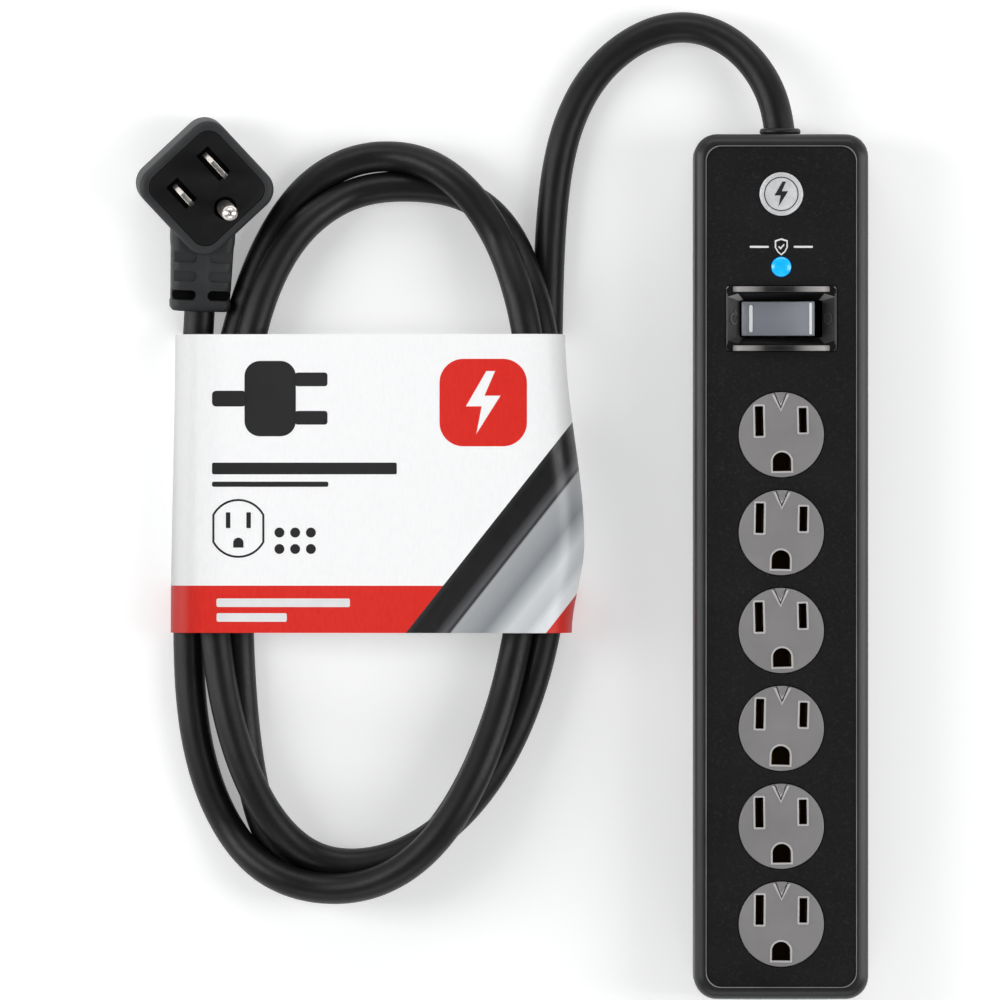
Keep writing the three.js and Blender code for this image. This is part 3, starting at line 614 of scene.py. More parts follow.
# Out of the collar, over in an arch and down to the floor.
LEAD_ROUTE = [
    (0, 0.1284, 0.01415), (0, 0.1314, 0.01415), (-0.0015, 0.1366, 0.0137), (-0.0042, 0.1428, 0.0124),
    (-0.0086, 0.149, 0.0108), (-0.0146, 0.1544, 0.009), (-0.0215, 0.1578, 0.0073), (-0.029, 0.159, 0.0061),
    (-0.0366, 0.1574, 0.0053), (-0.044, 0.1537, 0.0048), (-0.051, 0.1482, 0.0046), (-0.0567, 0.1411, 0.0046),
    (-0.0606, 0.1336, 0.0046), (-0.0636, 0.1248, 0.0046), (-0.0655, 0.115, 0.0046), (-0.0668, 0.103, 0.0046),
    (-0.0676, 0.088, 0.0046), (-0.068, 0.0703, 0.0046),
]
INSIDE_COLLAR = (0, 0.1258, 0.01415)
# The wound turns, run through clockwise: each furthest point as (x, y, height, and the height
# half way to the next), with the superellipse power of the quarter turn after it.
RIGHT, BOTTOM, LEFT, TOP = range(4)
TURNS = [
    (RIGHT, (-0.0680, 0.0660, 0.0052, 0.0046), 2.2),
    (BOTTOM, (-0.1293, -0.0941, 0.0045, 0.0045), 3.0),
    (LEFT, (-0.1591, 0.0194, 0.0055, 0.0125), 2.5),
    (TOP, (-0.1097, 0.1118, 0.0045, 0.0090), 3.0),
    (RIGHT, (-0.0664, 0.0077, 0.0125, 0.0128), 2.0),
    (BOTTOM, (-0.1264, -0.0882, 0.0092, 0.0105), 2.15),
    (LEFT, (-0.1661, 0.0018, 0.0110, 0.0045), 2.2),
    (TOP, (-0.1161, 0.1208, 0.0045, 0.0190), 2.2),
    (RIGHT, (-0.0717, 0.0399, 0.0210, 0.0215), 2.2),
    (BOTTOM, (-0.1302, -0.0948, 0.0136, 0.0060), 2.35),
    (LEFT, (-0.1732, -0.0215, 0.0052, 0.0052), None),
]
STEPS_PER_QUARTER = 14


def wound_points():
    """The turns' centreline: a quarter of a superellipse between each two furthest points."""
    points = []
    for (side, start, power), (_, end, _) in zip(TURNS, TURNS[1:]):
        for i in range(STEPS_PER_QUARTER):
            part = i / STEPS_PER_QUARTER
            near, far = cos(part * pi / 2) ** (2 / power), sin(part * pi / 2) ** (2 / power)
            if side in (RIGHT, LEFT):
                x = end[0] + (start[0] - end[0]) * near
                y = start[1] + (end[1] - start[1]) * far
            else:
                x = start[0] + (end[0] - start[0]) * far
                y = end[1] + (start[1] - end[1]) * near
            first, second = (start[2], start[3]) if part < 0.5 else (start[3], end[2])
            ease = (1 - cos(pi * (2 * part % 1))) / 2
            points.append((x, y, first + (second - first) * ease))
    return points + [TURNS[-1][1][:3]]


def tail_points():
    """From the outermost turn up to the plug's strain relief, ending just inside its mouth."""
    grip = plug_matrix() @ turn(PLUG_CORD_TURN, "Z")
    x, y, z = grip @ Vector(RELIEF_MOUTH) * MM
    inside = grip @ Vector(RELIEF_INSIDE) * MM
    bend = [(-0.1733, 0.0020, 0.0052), (-0.1726, 0.0250, 0.0052), (-0.1716, 0.0460, 0.0053)]
    rise = [(x - 0.0009, y - 0.0180, 0.0056), (x - 0.0006, y - 0.0080, z - 0.0008), (x, y, z)]
    return bend + rise + [tuple(inside)]


def evenly_spaced(points, step):
    line = np.array(points)
    along = np.concatenate([[0], np.cumsum(np.linalg.norm(np.diff(line, axis=0), axis=1))])
    places = np.linspace(0, along[-1], round(along[-1] / step) + 1)
    return np.column_stack([np.interp(places, along, line[:, axis]) for axis in range(3)])


def smoothed(points, rounds):
    """Eases the corners of a line and keeps its ends."""
    line = points.copy()
    for _ in range(rounds):
        line[1:-1] = (line[:-2] + 2 * line[1:-1] + line[2:]) / 4
    return line


LEAD_HELD, TAIL_HELD = 0.165, 0.075       # lengths at the cord's ends that stay where they are laid
SETTLE_STEP = 0.0036
SETTLE_ROUNDS = 420
NEIGHBOURS = 8             # steps along the cord that never count as another strand
SLEEVE_MARGIN = 0.004      # how far beyond its edges the paper still lifts the cord
GIVE = (0.35, 0.35, 1)     # how readily an overlap is cleared along each axis
PUSH = 0.6                 # share of that cleared each round
FLEX_PLAN, FLEX_UP = 0.1, 0.3             # share of each bend eased each round
HOLD = 0.12                # pull back to the laid line, in plan
SINK = 0.00004             # how far a free strand sinks each round


def settled(points):
    """Lays the turns on each other: strands that overlap are pushed apart, mostly up and down."""
    line = smoothed(evenly_spaced(points, SETTLE_STEP), 4)
    laid = line.copy()
    along = np.arange(len(line)) * SETTLE_STEP
    free = (along > LEAD_HELD) & (along < along[-1] - TAIL_HELD)
    low, high = SLEEVE_LOW_Y * MM - SLEEVE_MARGIN, SLEEVE_HIGH_Y * MM + SLEEVE_MARGIN
    in_sleeve = (line[:, 1] > low) & (line[:, 1] < high)
    lowest = np.where(in_sleeve, CORD_RADIUS + SLEEVE_PAPER * MM, CORD_RADIUS)
    for _ in range(SETTLE_ROUNDS):
        tree = KDTree(len(line))
        for i, point in enumerate(line):
            tree.insert(point, i)
        tree.balance()
        shift = np.zeros_like(line)
        for i, point in enumerate(line):
            for other, j, gap in tree.find_range(point, CORD_DIAMETER):
                if j - i < NEIGHBOURS:
                    continue
                apart = np.array(point) - np.array(other)
                push = (CORD_DIAMETER - gap) / 2 * apart / max(gap, 1e-6) * GIVE
                shift[i] += push
                shift[j] -= push
        line[free] += PUSH * shift[free]
        flexed = smoothed(line, 1)
        line[free, 2] += FLEX_UP * (flexed[free, 2] - line[free, 2])
        line[free, :2] += FLEX_PLAN * (flexed[free, :2] - line[free, :2])
        line[free, :2] += HOLD * (laid[free, :2] - line[free, :2])
        line[free, 2] = np.maximum(line[free, 2] - SINK, lowest[free])
    return smoothed(line, 2)


def make_cord(look):
    """One jacketed cable from the collar to the plug, and its length."""
    line = settled([INSIDE_COLLAR] + LEAD_ROUTE + wound_points() + tail_points())
    curve = bpy.data.curves.new("mains_cord", "CURVE")
    curve.dimensions = "3D"
    spline = curve.splines.new("NURBS")
    spline.points.add(len(line) - 1)
    for place, point in zip(spline.points, line):
        place.co = (*point, 1)
    spline.order_u = 4
    spline.use_endpoint_u = True
    spline.resolution_u = 3
    spline.use_smooth = True
    curve.bevel_depth = CORD_RADIUS
    curve.bevel_resolution = 8
    curve.use_fill_caps = True
    curve.materials.append(look["cord"])
    length = float(np.linalg.norm(np.diff(line, axis=0), axis=1).sum())
    return shown("mains_cord", curve), length


# ---------------------------------------------------------------- case
CAD_LOOKS = {
    "steel": "cover_screw clamp_screw plunger_spring thermal_fuse",
    "switch_black": "rocker_pin switch_housing",
    "insulator": "contact_carrier switch_plunger",
    "base": "cord_clamp",
    "brass": "neutral_bus_bar line_bus_bar ground_bus_bar line_terminal load_terminal contact_arm",
    "resin": "status_led",
    "board": "circuit_board",
    "varistor": "varistor",
    "component": "led_resistor",
    "black_wire": "line_feed_wire switched_wire board_line_wire",
    "cord": "cord_jacket_end",
    "green_wire": "ground_feed_wire",
    "white_wire": "neutral_feed_wire board_neutral_wire",
}


def dress_cad_nodes(look):
    """Gives each CAD node that still shows its own procedural material."""
    for look_name, names in CAD_LOOKS.items():
        for node, piece in frame["nodes"].items():
            if node.rstrip("0123456789").rstrip("_") in names.split():
                piece.data.materials.clear()
                piece.data.materials.append(look[look_name])


PORT_RADIUS = 5.9
PANEL_CORNER = 4.4
SCREW_RECESS = 3.3
KEYHOLE_ROWS = (93, -93)
KEYHOLE_ENTRY, KEYHOLE_SLOT, KEYHOLE_DROP = 4.5, 2.3, 5.7      # radii, and between their centres
CUP_OUTSIDE, CUP_INSIDE = (13.2, 20.2, 1), (10, 17, 0.8)       # width, length and corner
CUP_TOP, CUP_CEILING = 8.6, 7


def case_outline(inset, corner=None):
    """The case in plan, drawn in from its sides by an inset."""
    radius = CASE_CORNER - inset if corner is None else corner
    return rounded_rectangle(CASE_WIDTH - 2 * inset, CASE_LENGTH - 2 * inset, radius)


def case_loop(inset, z, corner=None):
    return [(x, y, z) for x, y in case_outline(inset, corner)]


def cord_port():
    """A cutter for the collar's port, through the end wall at the parting line."""
    port = slab("port", circle(PORT_RADIUS), -(COLLAR_MOUTH_Y + 1), -(CASE_LENGTH / 2 - 5), ())
    return moved(port, Matrix.Translation((0, 0, CORD_EXIT_Z)) @ turn(90, "X"))


def cover_shell(look):
    """The cover's walls and rounded rim, with a thin painted highlight line round the sunk top panel."""
    rim = arc((CASE_EDGE, CASE_TOP - CASE_EDGE), CASE_EDGE, 180, 90, 12)
    loops = [case_loop(CASE_WALL, COVER_FOOT), case_loop(0.3, COVER_FOOT), case_loop(0, COVER_FOOT + 0.3)]
    loops += [case_loop(inset, z) for inset, z in rim]
    loops += [
        case_loop(PANEL_INSET - 0.12, CASE_TOP - 0.02, PANEL_CORNER),
        case_loop(PANEL_INSET, CASE_TOP - 0.14, PANEL_CORNER),
        case_loop(PANEL_INSET, PANEL_UNDERSIDE, PANEL_CORNER),
        case_loop(CASE_WALL, PANEL_UNDERSIDE - 1.4),
    ]
    shell = band("cover_shell", loops, look["rim"], closed_section=True, smooth_angle=30)
    carved(shell, cord_port(), smooth_angle=30)
    # a pale band round the panel's edge: a painted highlight on the rim's inner edge
    inner = PANEL_INSET + 0.02
    line = [(3.34, 31.5), (3.34, 31.94), (3.4, 32), (3.54, 31.99), (inner, 31.86), (inner, 31.5)]
    line_loops = [case_loop(inset, z, PANEL_CORNER) for inset, z in line]
    highlight_band = band("edge", line_loops, look["painted_highlight"], closed_section=True)
    belongs(joined("cover_case", shell, highlight_band), "case_cover", "top_cover")


def cover_panel(look):
    """The pebbled top panel with its openings."""
    outline = case_outline(PANEL_INSET + 0.03, PANEL_CORNER - 0.03)
    frame_size = (BEZEL_WIDTH + 0.3, BEZEL_DEPTH + 0.3)
    holes = [circle(OUTLET_RADIUS + 0.28, (0, centre_mm(node)[1]), 96) for node in OUTLET_NODES]
    holes.append(rounded_rectangle(*frame_size, 0.9, (0, SWITCH_Y), 4))
    holes.append(circle(LENS_RADIUS + 0.12, (0, LENS_Y)))
    holes.append(circle(BADGE_RADIUS + 0.05, (0, BADGE_Y), 96))
    panel = slab("cover_panel", outline, PANEL_UNDERSIDE, PANEL_TOP, look["panel"], holes, 0.1, 2)
    belongs(panel, "case_cover", "top_cover")


def keyhole_outline(y):
    """A round entry with a narrow slot towards the cord end."""
    entry_y = y - 3.5
    entry = arc((0, entry_y), KEYHOLE_ENTRY, 120.7, 419.3, 24)
    return entry + arc((0, entry_y + KEYHOLE_DROP), KEYHOLE_SLOT, 0, 180, 12)


def base_shell(look):
    """The base's walls, its floor with keyholes and screw recesses, and the keyholes' cups."""
    foot = arc((CASE_EDGE, CASE_EDGE), CASE_EDGE, 270, 180, 12)
    loops = [case_loop(inset, z) for inset, z in foot]
    loops += [
        case_loop(0, BASE_TOP - 0.3), case_loop(0.3, BASE_TOP), case_loop(CASE_WALL, BASE_TOP),
        case_loop(CASE_WALL, FLOOR_THICKNESS), case_loop(CASE_EDGE, FLOOR_THICKNESS),
    ]
    walls = band("base_walls", loops, look["base"], closed_section=True, smooth_angle=30)
    carved(walls, cord_port(), smooth_angle=30)
    screws = [centre_mm(node) for node in frame["nodes"] if node.startswith("cover_screw")]
    holes = [circle(SCREW_RECESS, (x, y), 32) for x, y, _ in screws]
    holes += [keyhole_outline(y) for y in KEYHOLE_ROWS]
    floor = slab("base_floor", case_outline(CASE_EDGE), 0, FLOOR_THICKNESS, look["base"], holes)
    cups = []
    for y in KEYHOLE_ROWS:
        outside = rounded_rectangle(*CUP_OUTSIDE, (0, y), 4)
        inside = rounded_rectangle(*CUP_INSIDE, (0, y), 4)
        cup = slab("cup", outside, FLOOR_THICKNESS, CUP_TOP, look["base"])
        cups.append(carved(cup, slab("pocket", inside, FLOOR_THICKNESS - 1, CUP_CEILING, ())))
    belongs(joined("base_case", walls, floor, *cups), "case_base", "base_shell")


# ---------------------------------------------------------------- outlets
OUTLET_RADIUS = 12.4
OUTLET_TURNS = (1.2, -1.0, 1.6, -1.4, 0.9, -0.6)   # each face sits slightly turned, in degrees
BLADE_SPACING = 12.7
SLOTS = {"neutral": (-BLADE_SPACING / 2, 2.4, 8.7), "line": (BLADE_SPACING / 2, 2.3, 7.2)}
SLOT_ROW = 4.1
GROUND_ROW = -7.8
GROUND_RADIUS = 2.7
GROUND_FLAT = 2.8          # from the arc's centre down to the flat side
LIP_WIDTH = 0.55
NOTCH_HALF, NOTCH_DEPTH = 2.05, 4.5
FACE_UNDERSIDE = 28.2


def ground_outline(spread=0.0):
    low = GROUND_ROW - GROUND_FLAT - spread
    radius = GROUND_RADIUS + spread
    return arc((0, GROUND_ROW), radius, 0, 180, 24) + [(-radius, low), (radius, low)]


def slot_outline(kind, spread=0.0):
    x, width, length = SLOTS[kind]
    return rounded_rectangle(width + 2 * spread, length + 2 * spread, 0.2 + spread / 2, (x, SLOT_ROW), 3)


def notch_outline(groove, overrun):
    """The V at the top of each outlet, as a bent strip of even width."""
    half, depth = NOTCH_HALF, NOTCH_DEPTH
    top = sqrt(OUTLET_RADIUS ** 2 - half ** 2) + overrun
    tip = OUTLET_RADIUS - depth
    wide = groove / 2 * sqrt(half ** 2 + depth ** 2) / depth
    drop = groove / 2 * sqrt(half ** 2 + depth ** 2) / half
    outside = [(-half - wide, top), (0, tip - drop), (half + wide, top)]
    inside = [(half - wide, top), (0, tip + drop), (-half + wide, top)]
    return outside + inside


def lip(name, inner, outer, look):
    """A thin raised edge round a slot, in a paler grey that is painted highlight."""
    top = top_mm(OUTLET_NODES[0])
    return slab(name, outer, top - 0.05, top + 0.16, look["lip"], [inner], 0.08, 2)


def outlet(index, node, look):
    """One outlet's disc, with its slots, their raised lips and the V at its top; the lips and the V's border
    are in a paler grey as painted highlight.
    """
    top = top_mm(node)
    slots = [slot_outline("neutral"), slot_outline("line"), ground_outline()]
    disc = circle(OUTLET_RADIUS, steps=128)
    face = slab("face", disc, FACE_UNDERSIDE, top, look["outlet"], slots, 0.28, 4)
    # the V's border is a paler grey: painted highlight on the raised edge
    highlight_border = slab("highlight_border", notch_outline(1.0, -0.5), top - 0.05, top + 0.1, look["lip"])
    for part in (face, highlight_border):
        carved(part, slab("groove", notch_outline(0.4, 0.6), top - 0.45, top + 1, ()))
    lips = [lip("lip", slot_outline(kind), slot_outline(kind, LIP_WIDTH), look) for kind in SLOTS]
    lips.append(lip("lip", ground_outline(), ground_outline(LIP_WIDTH), look))
    piece = joined(f"outlet_{index + 1}", face, highlight_border, *lips)
    moved(piece, Matrix.Translation((0, centre_mm(node)[1], 0)) @ turn(OUTLET_TURNS[index], "Z"))
    belongs(piece, "outlet_plastic", node)


# ---------------------------------------------------------------- reset switch
BEZEL_WIDTH, BEZEL_DEPTH, BEZEL_TOP = 32.2, 18.9, 31.9
FUNNEL_TOP = (15.6, 7.2)
FUNNEL_FOOT = (12.0, 5.5)
FUNNEL_FOOT_Z = 28.0
FRAME_FOOT = 27.4
RIDGE_ROW = 8.6
RIDGE_HALF, RIDGE_FOOT, RIDGE_RISE = 14.1, 0.5, 1.7            # half-length, end height and crest
MARK_RELIEF = (-0.1, 0.22)                # a mark's underside and top, from the funnel's face
ROCKER_LENGTH, ROCKER_WIDTH, ROCKER_RISE = 21.3, 10.0, 6.4
ROCKER_DIP = 0.75          # how far its face is hollowed


def cut_corner_loop(half_x, half_y, cut_x, cut_y, z):
    """A rectangle with its corners cut off, round the switch's centre."""
    x, y = half_x - cut_x, half_y - cut_y
    right_and_far = [(half_x, -y), (half_x, y), (x, half_y), (-x, half_y)]
    outline = right_and_far + [(-a, -b) for a, b in right_and_far]
    return [(a, b + SWITCH_Y, z) for a, b in outline]


def switch_frame(look):
    """The funnel round the rocker, its sloped faces toned by the way they face: grey ends and black long
    sides are lit and shaded copies of one plastic, and the pale hips at the far corners are painted
    highlight.
    """
    wide, deep = BEZEL_WIDTH / 2, BEZEL_DEPTH / 2
    loops = [
        cut_corner_loop(wide, deep, 0.6, 0.6, FRAME_FOOT),
        cut_corner_loop(wide, deep, 0.6, 0.6, BEZEL_TOP - 0.2),
        cut_corner_loop(wide - 0.2, deep - 0.2, 0.6, 0.6, BEZEL_TOP),
        cut_corner_loop(FUNNEL_TOP[0] + 0.08, FUNNEL_TOP[1] + 0.08, 3.1, 0.9, BEZEL_TOP),
        cut_corner_loop(*FUNNEL_TOP, 3.1, 0.9, BEZEL_TOP - 0.15),
        cut_corner_loop(*FUNNEL_FOOT, 1.0, 0.25, FUNNEL_FOOT_Z),
        cut_corner_loop(*FUNNEL_FOOT, 1.0, 0.25, FRAME_FOOT),
    ]
    materials = [look["switch_black"], look["funnel"], look["painted_highlight"]]
    bezel = band("switch_frame", loops, materials, closed_section=True, smooth_angle=20)
    # painted light: sloped ends and near hips take the lit grey, long sides the shaded black, far hips a
    # painted highlight
    for face in bezel.data.polygons:
        sloped = 0.1 < face.normal.z < 0.97
        if not sloped or face.center.z <= FUNNEL_FOOT_Z * MM:
            continue
        end_on = abs(face.normal.x) > 4 * abs(face.normal.y)
        side_on = abs(face.normal.y) > 4 * abs(face.normal.x)
        far_hip = face.center.y > SWITCH_Y * MM
        face.material_index = 0 if side_on else 1 if end_on or not far_hip else 2
    ridges = [guard_ridge(side * RIDGE_ROW + SWITCH_Y, look) for side in (-1, 1)]
    rims = [end_rim(side, look) for side in (-1, 1)]
    marks = [reset_mark(look), off_mark(look)]
    piece = joined("switch_frame_funnel", bezel, *ridges, *rims, *marks)
    belongs(piece, "switch_frame", "switch_bezel")


def guard_ridge(y, look):
    """A low arched wall beside the rocker."""
    foot, rise, steps = RIDGE_FOOT, RIDGE_RISE, 28
    crest = []
    for i in range(steps + 1):
        t = 1 - 2 * i / steps
        crest.append((t * RIDGE_HALF, BEZEL_TOP + foot + (rise - foot) * (1 - abs(t) ** 2.4)))
    outline = [(-RIDGE_HALF, BEZEL_TOP - 0.3), (RIDGE_HALF, BEZEL_TOP - 0.3)] + crest
    return swept("ridge", outline, y - 0.8, y + 0.8, look["guard_ridge"], edge=0.3)


def end_rim(side, look):
    """The thin pale edge along the outside of a funnel end."""
    x = side * (BEZEL_WIDTH / 2 - 0.3)
    outline = rounded_rectangle(0.5, 2 * FUNNEL_TOP[1] + 0.6, 0.2, (x, SWITCH_Y), 3)
    return slab("rim", outline, BEZEL_TOP - 0.2, BEZEL_TOP + 0.14, look["ridge"], edge=0.12)


def on_funnel_end(side, parts):
    """Tips flat parts drawn about the origin onto a funnel end panel."""
    run = FUNNEL_TOP[0] - FUNNEL_FOOT[0]
    fall = BEZEL_TOP - FUNNEL_FOOT_Z
    middle = (side * (FUNNEL_TOP[0] + FUNNEL_FOOT[0]) / 2, SWITCH_Y, (BEZEL_TOP + FUNNEL_FOOT_Z) / 2)
    tip = Matrix.Rotation(-side * atan2(fall, run), 4, "Y")
    for part in parts:
        moved(part, Matrix.Translation(middle) @ tip)
    return joined("mark", *parts)


def reset_mark(look):
    """A raised arrow turned back on itself, for reset."""
    ring = arc((0, 0), 1.75, 60, 360, 24) + arc((0, 0), 1.25, 360, 60, 24)
    head = [(0.1, 2.5), (0.1, 0.55), (1.9, 1.45)]
    shapes = {"bow": ring, "head": head}
    return on_funnel_end(-1, [slab(name, shapes[name], *MARK_RELIEF, look["ridge"]) for name in shapes])


def off_mark(look):
    """A raised circle, for off."""
    hole = circle(1.3, steps=40)
    ring = slab("ring", circle(1.8, steps=40), *MARK_RELIEF, look["ridge"], [hole])
    return on_funnel_end(1, [ring])


def rocker(look):
    """The tilting paddle: a hollowed face between two raised ends, with an on bar and a painted highlight
    along its far edge.
    """
    half, low = ROCKER_LENGTH / 2, -2.4
    steps, lip_width = 24, 1.15
    face = []
    for i in range(steps + 1):
        t = 1 - 2 * i / steps
        face.append((t * (half - lip_width), ROCKER_RISE - 0.35 - ROCKER_DIP * (1 - t * t)))
    belly = [(-half + 0.6, 0.2), (-3, low), (3, low), (half - 0.6, 0.2)]
    lip = [(half, ROCKER_RISE - 0.1), (half - 0.15, ROCKER_RISE), (half - lip_width + 0.25, ROCKER_RISE)]
    outline = belly + lip + face + [(-x, z) for x, z in reversed(lip)]
    paddle = swept("paddle", outline, -ROCKER_WIDTH / 2, ROCKER_WIDTH / 2, look["rocker"], edge=0.3)
    on_bar = rounded_rectangle(1.0, 8, 0.45, (-8.0, 0), 5)
    bar = slab("bar", on_bar, 5.2, 6.15, look["rocker_mark"], edge=0.12)
    # a white strip along the far end: painted highlight on the raised lip's edge
    highlight_outline = rounded_rectangle(0.8, 9.2, 0.3, (half - 1.0, 0), 3)
    highlight_bar = slab("edge", highlight_outline, 5.4, 6.52, look["rocker_mark"], edge=0.1)
    piece = joined("rocker_paddle", paddle, bar, highlight_bar)
    moved(piece, Matrix.Translation(ROCKER_PIVOT) @ turn(ROCKER_REST_TILT, "Y"))
    belongs(piece, "rocker_plastic", "rocker", body="rocker")


# ---------------------------------------------------------------- lens, badge and pictogram
LENS_RADIUS, LENS_FOOT, LENS_SHOULDER, LENS_DOME = 2.9, 27.4, 31.55, 0.85
BADGE_RADIUS = 6.3


def status_lens(look):
    """The lamp's cap, with a low dome."""
    profile = [(0, LENS_FOOT), (LENS_RADIUS, LENS_FOOT)]
    for angle in range(0, 91, 10):
        out, up = cos(radians(angle)), sin(radians(angle))
        profile.append((LENS_RADIUS * out, LENS_SHOULDER + LENS_DOME * up))
    piece = turned("status_lamp", profile, (0, LENS_Y, 0), look["lens"])
    belongs(piece, "status_lens", "status_lens")


def lightning(scale, centre=(0, 0)):
    """A plain lightning bolt drawn about a centre."""
    down = [(0.10, 1.0), (-0.55, -0.12), (-0.05, -0.12), (-0.22, -1.0)]
    up = [(0.55, 0.22), (0.04, 0.22), (0.38, 1.0)]
    return [(centre[0] + scale * x, centre[1] + scale * y) for x, y in down + up]


def badge(look):
    """A silver disc with a raised edge, a plain lightning bolt and a ring round it."""
    centre, top, radius = (0, BADGE_Y), top_mm("badge_disc"), BADGE_RADIUS
    profile = [
        (0, 30.2), (radius - 0.1, 30.2), (radius, 30.4), (radius, top - 0.08), (radius - 0.1, top),
        (radius - 0.45, top), (radius - 0.6, top - 0.2), (0, top - 0.2),
    ]
    disc = turned("disc", profile, (*centre, 0), look["badge"], steps=96)
    bolt = slab("bolt", lightning(3.6, centre), top - 0.25, top - 0.12, look["ink_dark"])
    hole = circle(4.72, centre, 80)
    ring = slab("ring", circle(5.0, centre, 80), top - 0.25, top - 0.14, look["ink_dark"], [hole])
    belongs(joined("badge", disc, bolt, ring), "badge_metal", "badge_disc")


def at_row(outline, y):
    return [(x, along + y) for x, along in outline]


def pictogram(look):
    """A printed shield with a tick between two short bars, over the lamp."""
    left = [(-1.1, -1.6), (-1.9, -0.2)]
    shield = [(-1.9, 1.9), (0, 2.5), (1.9, 1.9), (1.9, -0.2), (1.1, -1.6), (0, -2.5)] + left
    inner = [(x * 0.78, y * 0.8) for x, y in shield]
    tick = [(-0.95, 0.0), (-0.65, 0.32), (-0.2, -0.15), (0.7, 0.85), (1.0, 0.55), (-0.2, -0.8)]
    bars = [rounded_rectangle(5.6, 0.6, 0.28, (side * 6.4, 0), 4) for side in (-1, 1)]
    parts = []
    for outline, holes in ((shield, [inner]), (tick, []), (bars[0], []), (bars[1], [])):
        holes = [at_row(hole, PICTOGRAM_Y) for hole in holes]
        outline = at_row(outline, PICTOGRAM_Y)
        parts.append(slab("ink", outline, PANEL_TOP - 0.02, PANEL_TOP + 0.05, look["ink_white"], holes))
    belongs(joined("protection_mark", *parts), "case_cover")


# ---------------------------------------------------------------- cord entry
def collar(look):
    """The round collar where the cord leaves the case: its flange inside, its neck and its ring."""
    flange = [(0, 6.4), (7.4, 6.4), (7.4, 4.6), (5.6, 4.6), (5.6, 1.7)]
    ring = [(5.8, 1.55), (6.0, 1.2), (6.0, 0.6), (5.8, 0.2), (5.5, 0)]
    mouth = [(5.0, 0), (4.7, 0.4), (4.6, 1.2), (0, 1.2)]
    profile = [(radius, COLLAR_MOUTH_Y - back) for radius, back in flange + ring + mouth]
    piece = turned("collar", profile, (0, 0, CORD_EXIT_Z), look["rim"], axis="Y")
    return belongs(piece, "cord_jacket", "cord_collar")


# ---------------------------------------------------------------- label sleeve
(SLEEVE_LEFT, SLEEVE_LOW_Y, _), (SLEEVE_RIGHT, SLEEVE_HIGH_Y, SLEEVE_TOP) = box_mm("label_sleeve")
SLEEVE_PAPER = 0.4
INK_GRID = 2               # spacing of the cuts that let ink follow the paper
SLEEVE_RISE = 8.2          # how much higher its right side stands than its left
SIDE_BOW = 0.62             # how far a side bows out, as a share of its half-height
RED_BAND_TOP = SLEEVE_LOW_Y + 13.8
STRIPE_NORMAL = (0.7845, -0.6201)
STRIPE_START, STRIPE_END = -73.8, -41.7


def ease(t):
    return t * t * (3 - 2 * t)


def sleeve_ends(y):
    """The sleeve's left and right edges at y: it bellies out over the turns on the right."""
    part = (y - SLEEVE_LOW_Y) / (SLEEVE_HIGH_Y - SLEEVE_LOW_Y)
    slack_low = 3.7 * (1 - ease(min(1, part / 0.3)))
    slack_high = 5.6 * ease(max(0, (part - 0.3) / 0.7))
    left = SLEEVE_LEFT + 1.3 * ease(part)
    return left, SLEEVE_RIGHT - slack_low - slack_high


def sleeve_top(x):
    """The paper rises from the low turns on the left to the high ones on the right."""
    part = (x - SLEEVE_LEFT) / (SLEEVE_RIGHT - SLEEVE_LEFT)
    return SLEEVE_TOP - SLEEVE_RISE + SLEEVE_RISE * ease(min(1, max(0, part)))


def sleeve_bows(y, inset=0.0):
    """The half-height and the inner end of the bowed sides, left then right."""
    left, right = sleeve_ends(y)
    left_half = sleeve_top(left + 6) / 2 - inset
    right_half = SLEEVE_TOP / 2 - inset
    return left_half, left + inset + SIDE_BOW * left_half, right_half, right - inset - SIDE_BOW * right_half


def squared(x, z):
    """A point of the unit circle, moved out into a tighter corner where it is below the middle."""
    if z > 0:
        return x, z
    return copysign(abs(x) ** 0.4, x), -abs(z) ** 0.4


def sleeve_section(y, inset):
    """The sleeve's section at y, drawn in from its outside by an inset."""
    left_half, start_x, right_half, end_x = sleeve_bows(y, inset)
    outline = []
    for x, z in (squared(*point) for point in arc((0, 0), 1, 270, 90, 20)):
        outline.append((start_x + left_half * SIDE_BOW * x, inset + left_half * (1 + z)))
    for i in range(1, 60):
        height = left_half + (right_half - left_half) * ease(i / 60)
        outline.append((start_x + (end_x - start_x) * i / 60, inset + 2 * height))
    for x, z in (squared(*point) for point in arc((0, 0), 1, 90, -90, 24)):
        outline.append((end_x + right_half * SIDE_BOW * x, inset + right_half * (1 + z)))
    for i in range(1, 40):
        outline.append((end_x + (start_x - end_x) * i / 40, inset))
    return [(x, y, z) for x, z in outline]


def ink_at(place, normal):
    """Which ink is printed there, on the sleeve's outside: 0 none, 1 or 3 red, 2 the diagonal bar."""
    middle = Vector(((SLEEVE_LEFT + SLEEVE_RIGHT) / 2, place.y, SLEEVE_TOP * 0.38))
    faces_in = normal.dot(place - middle) < 0
    if faces_in:
        return 0
    across = place.x * STRIPE_NORMAL[0] + place.y * STRIPE_NORMAL[1]
    if normal.z > -0.3:
        if across > STRIPE_END:
            return 3
        if across > STRIPE_START:
            return 2
    return 1 if place.y < RED_BAND_TOP else 0


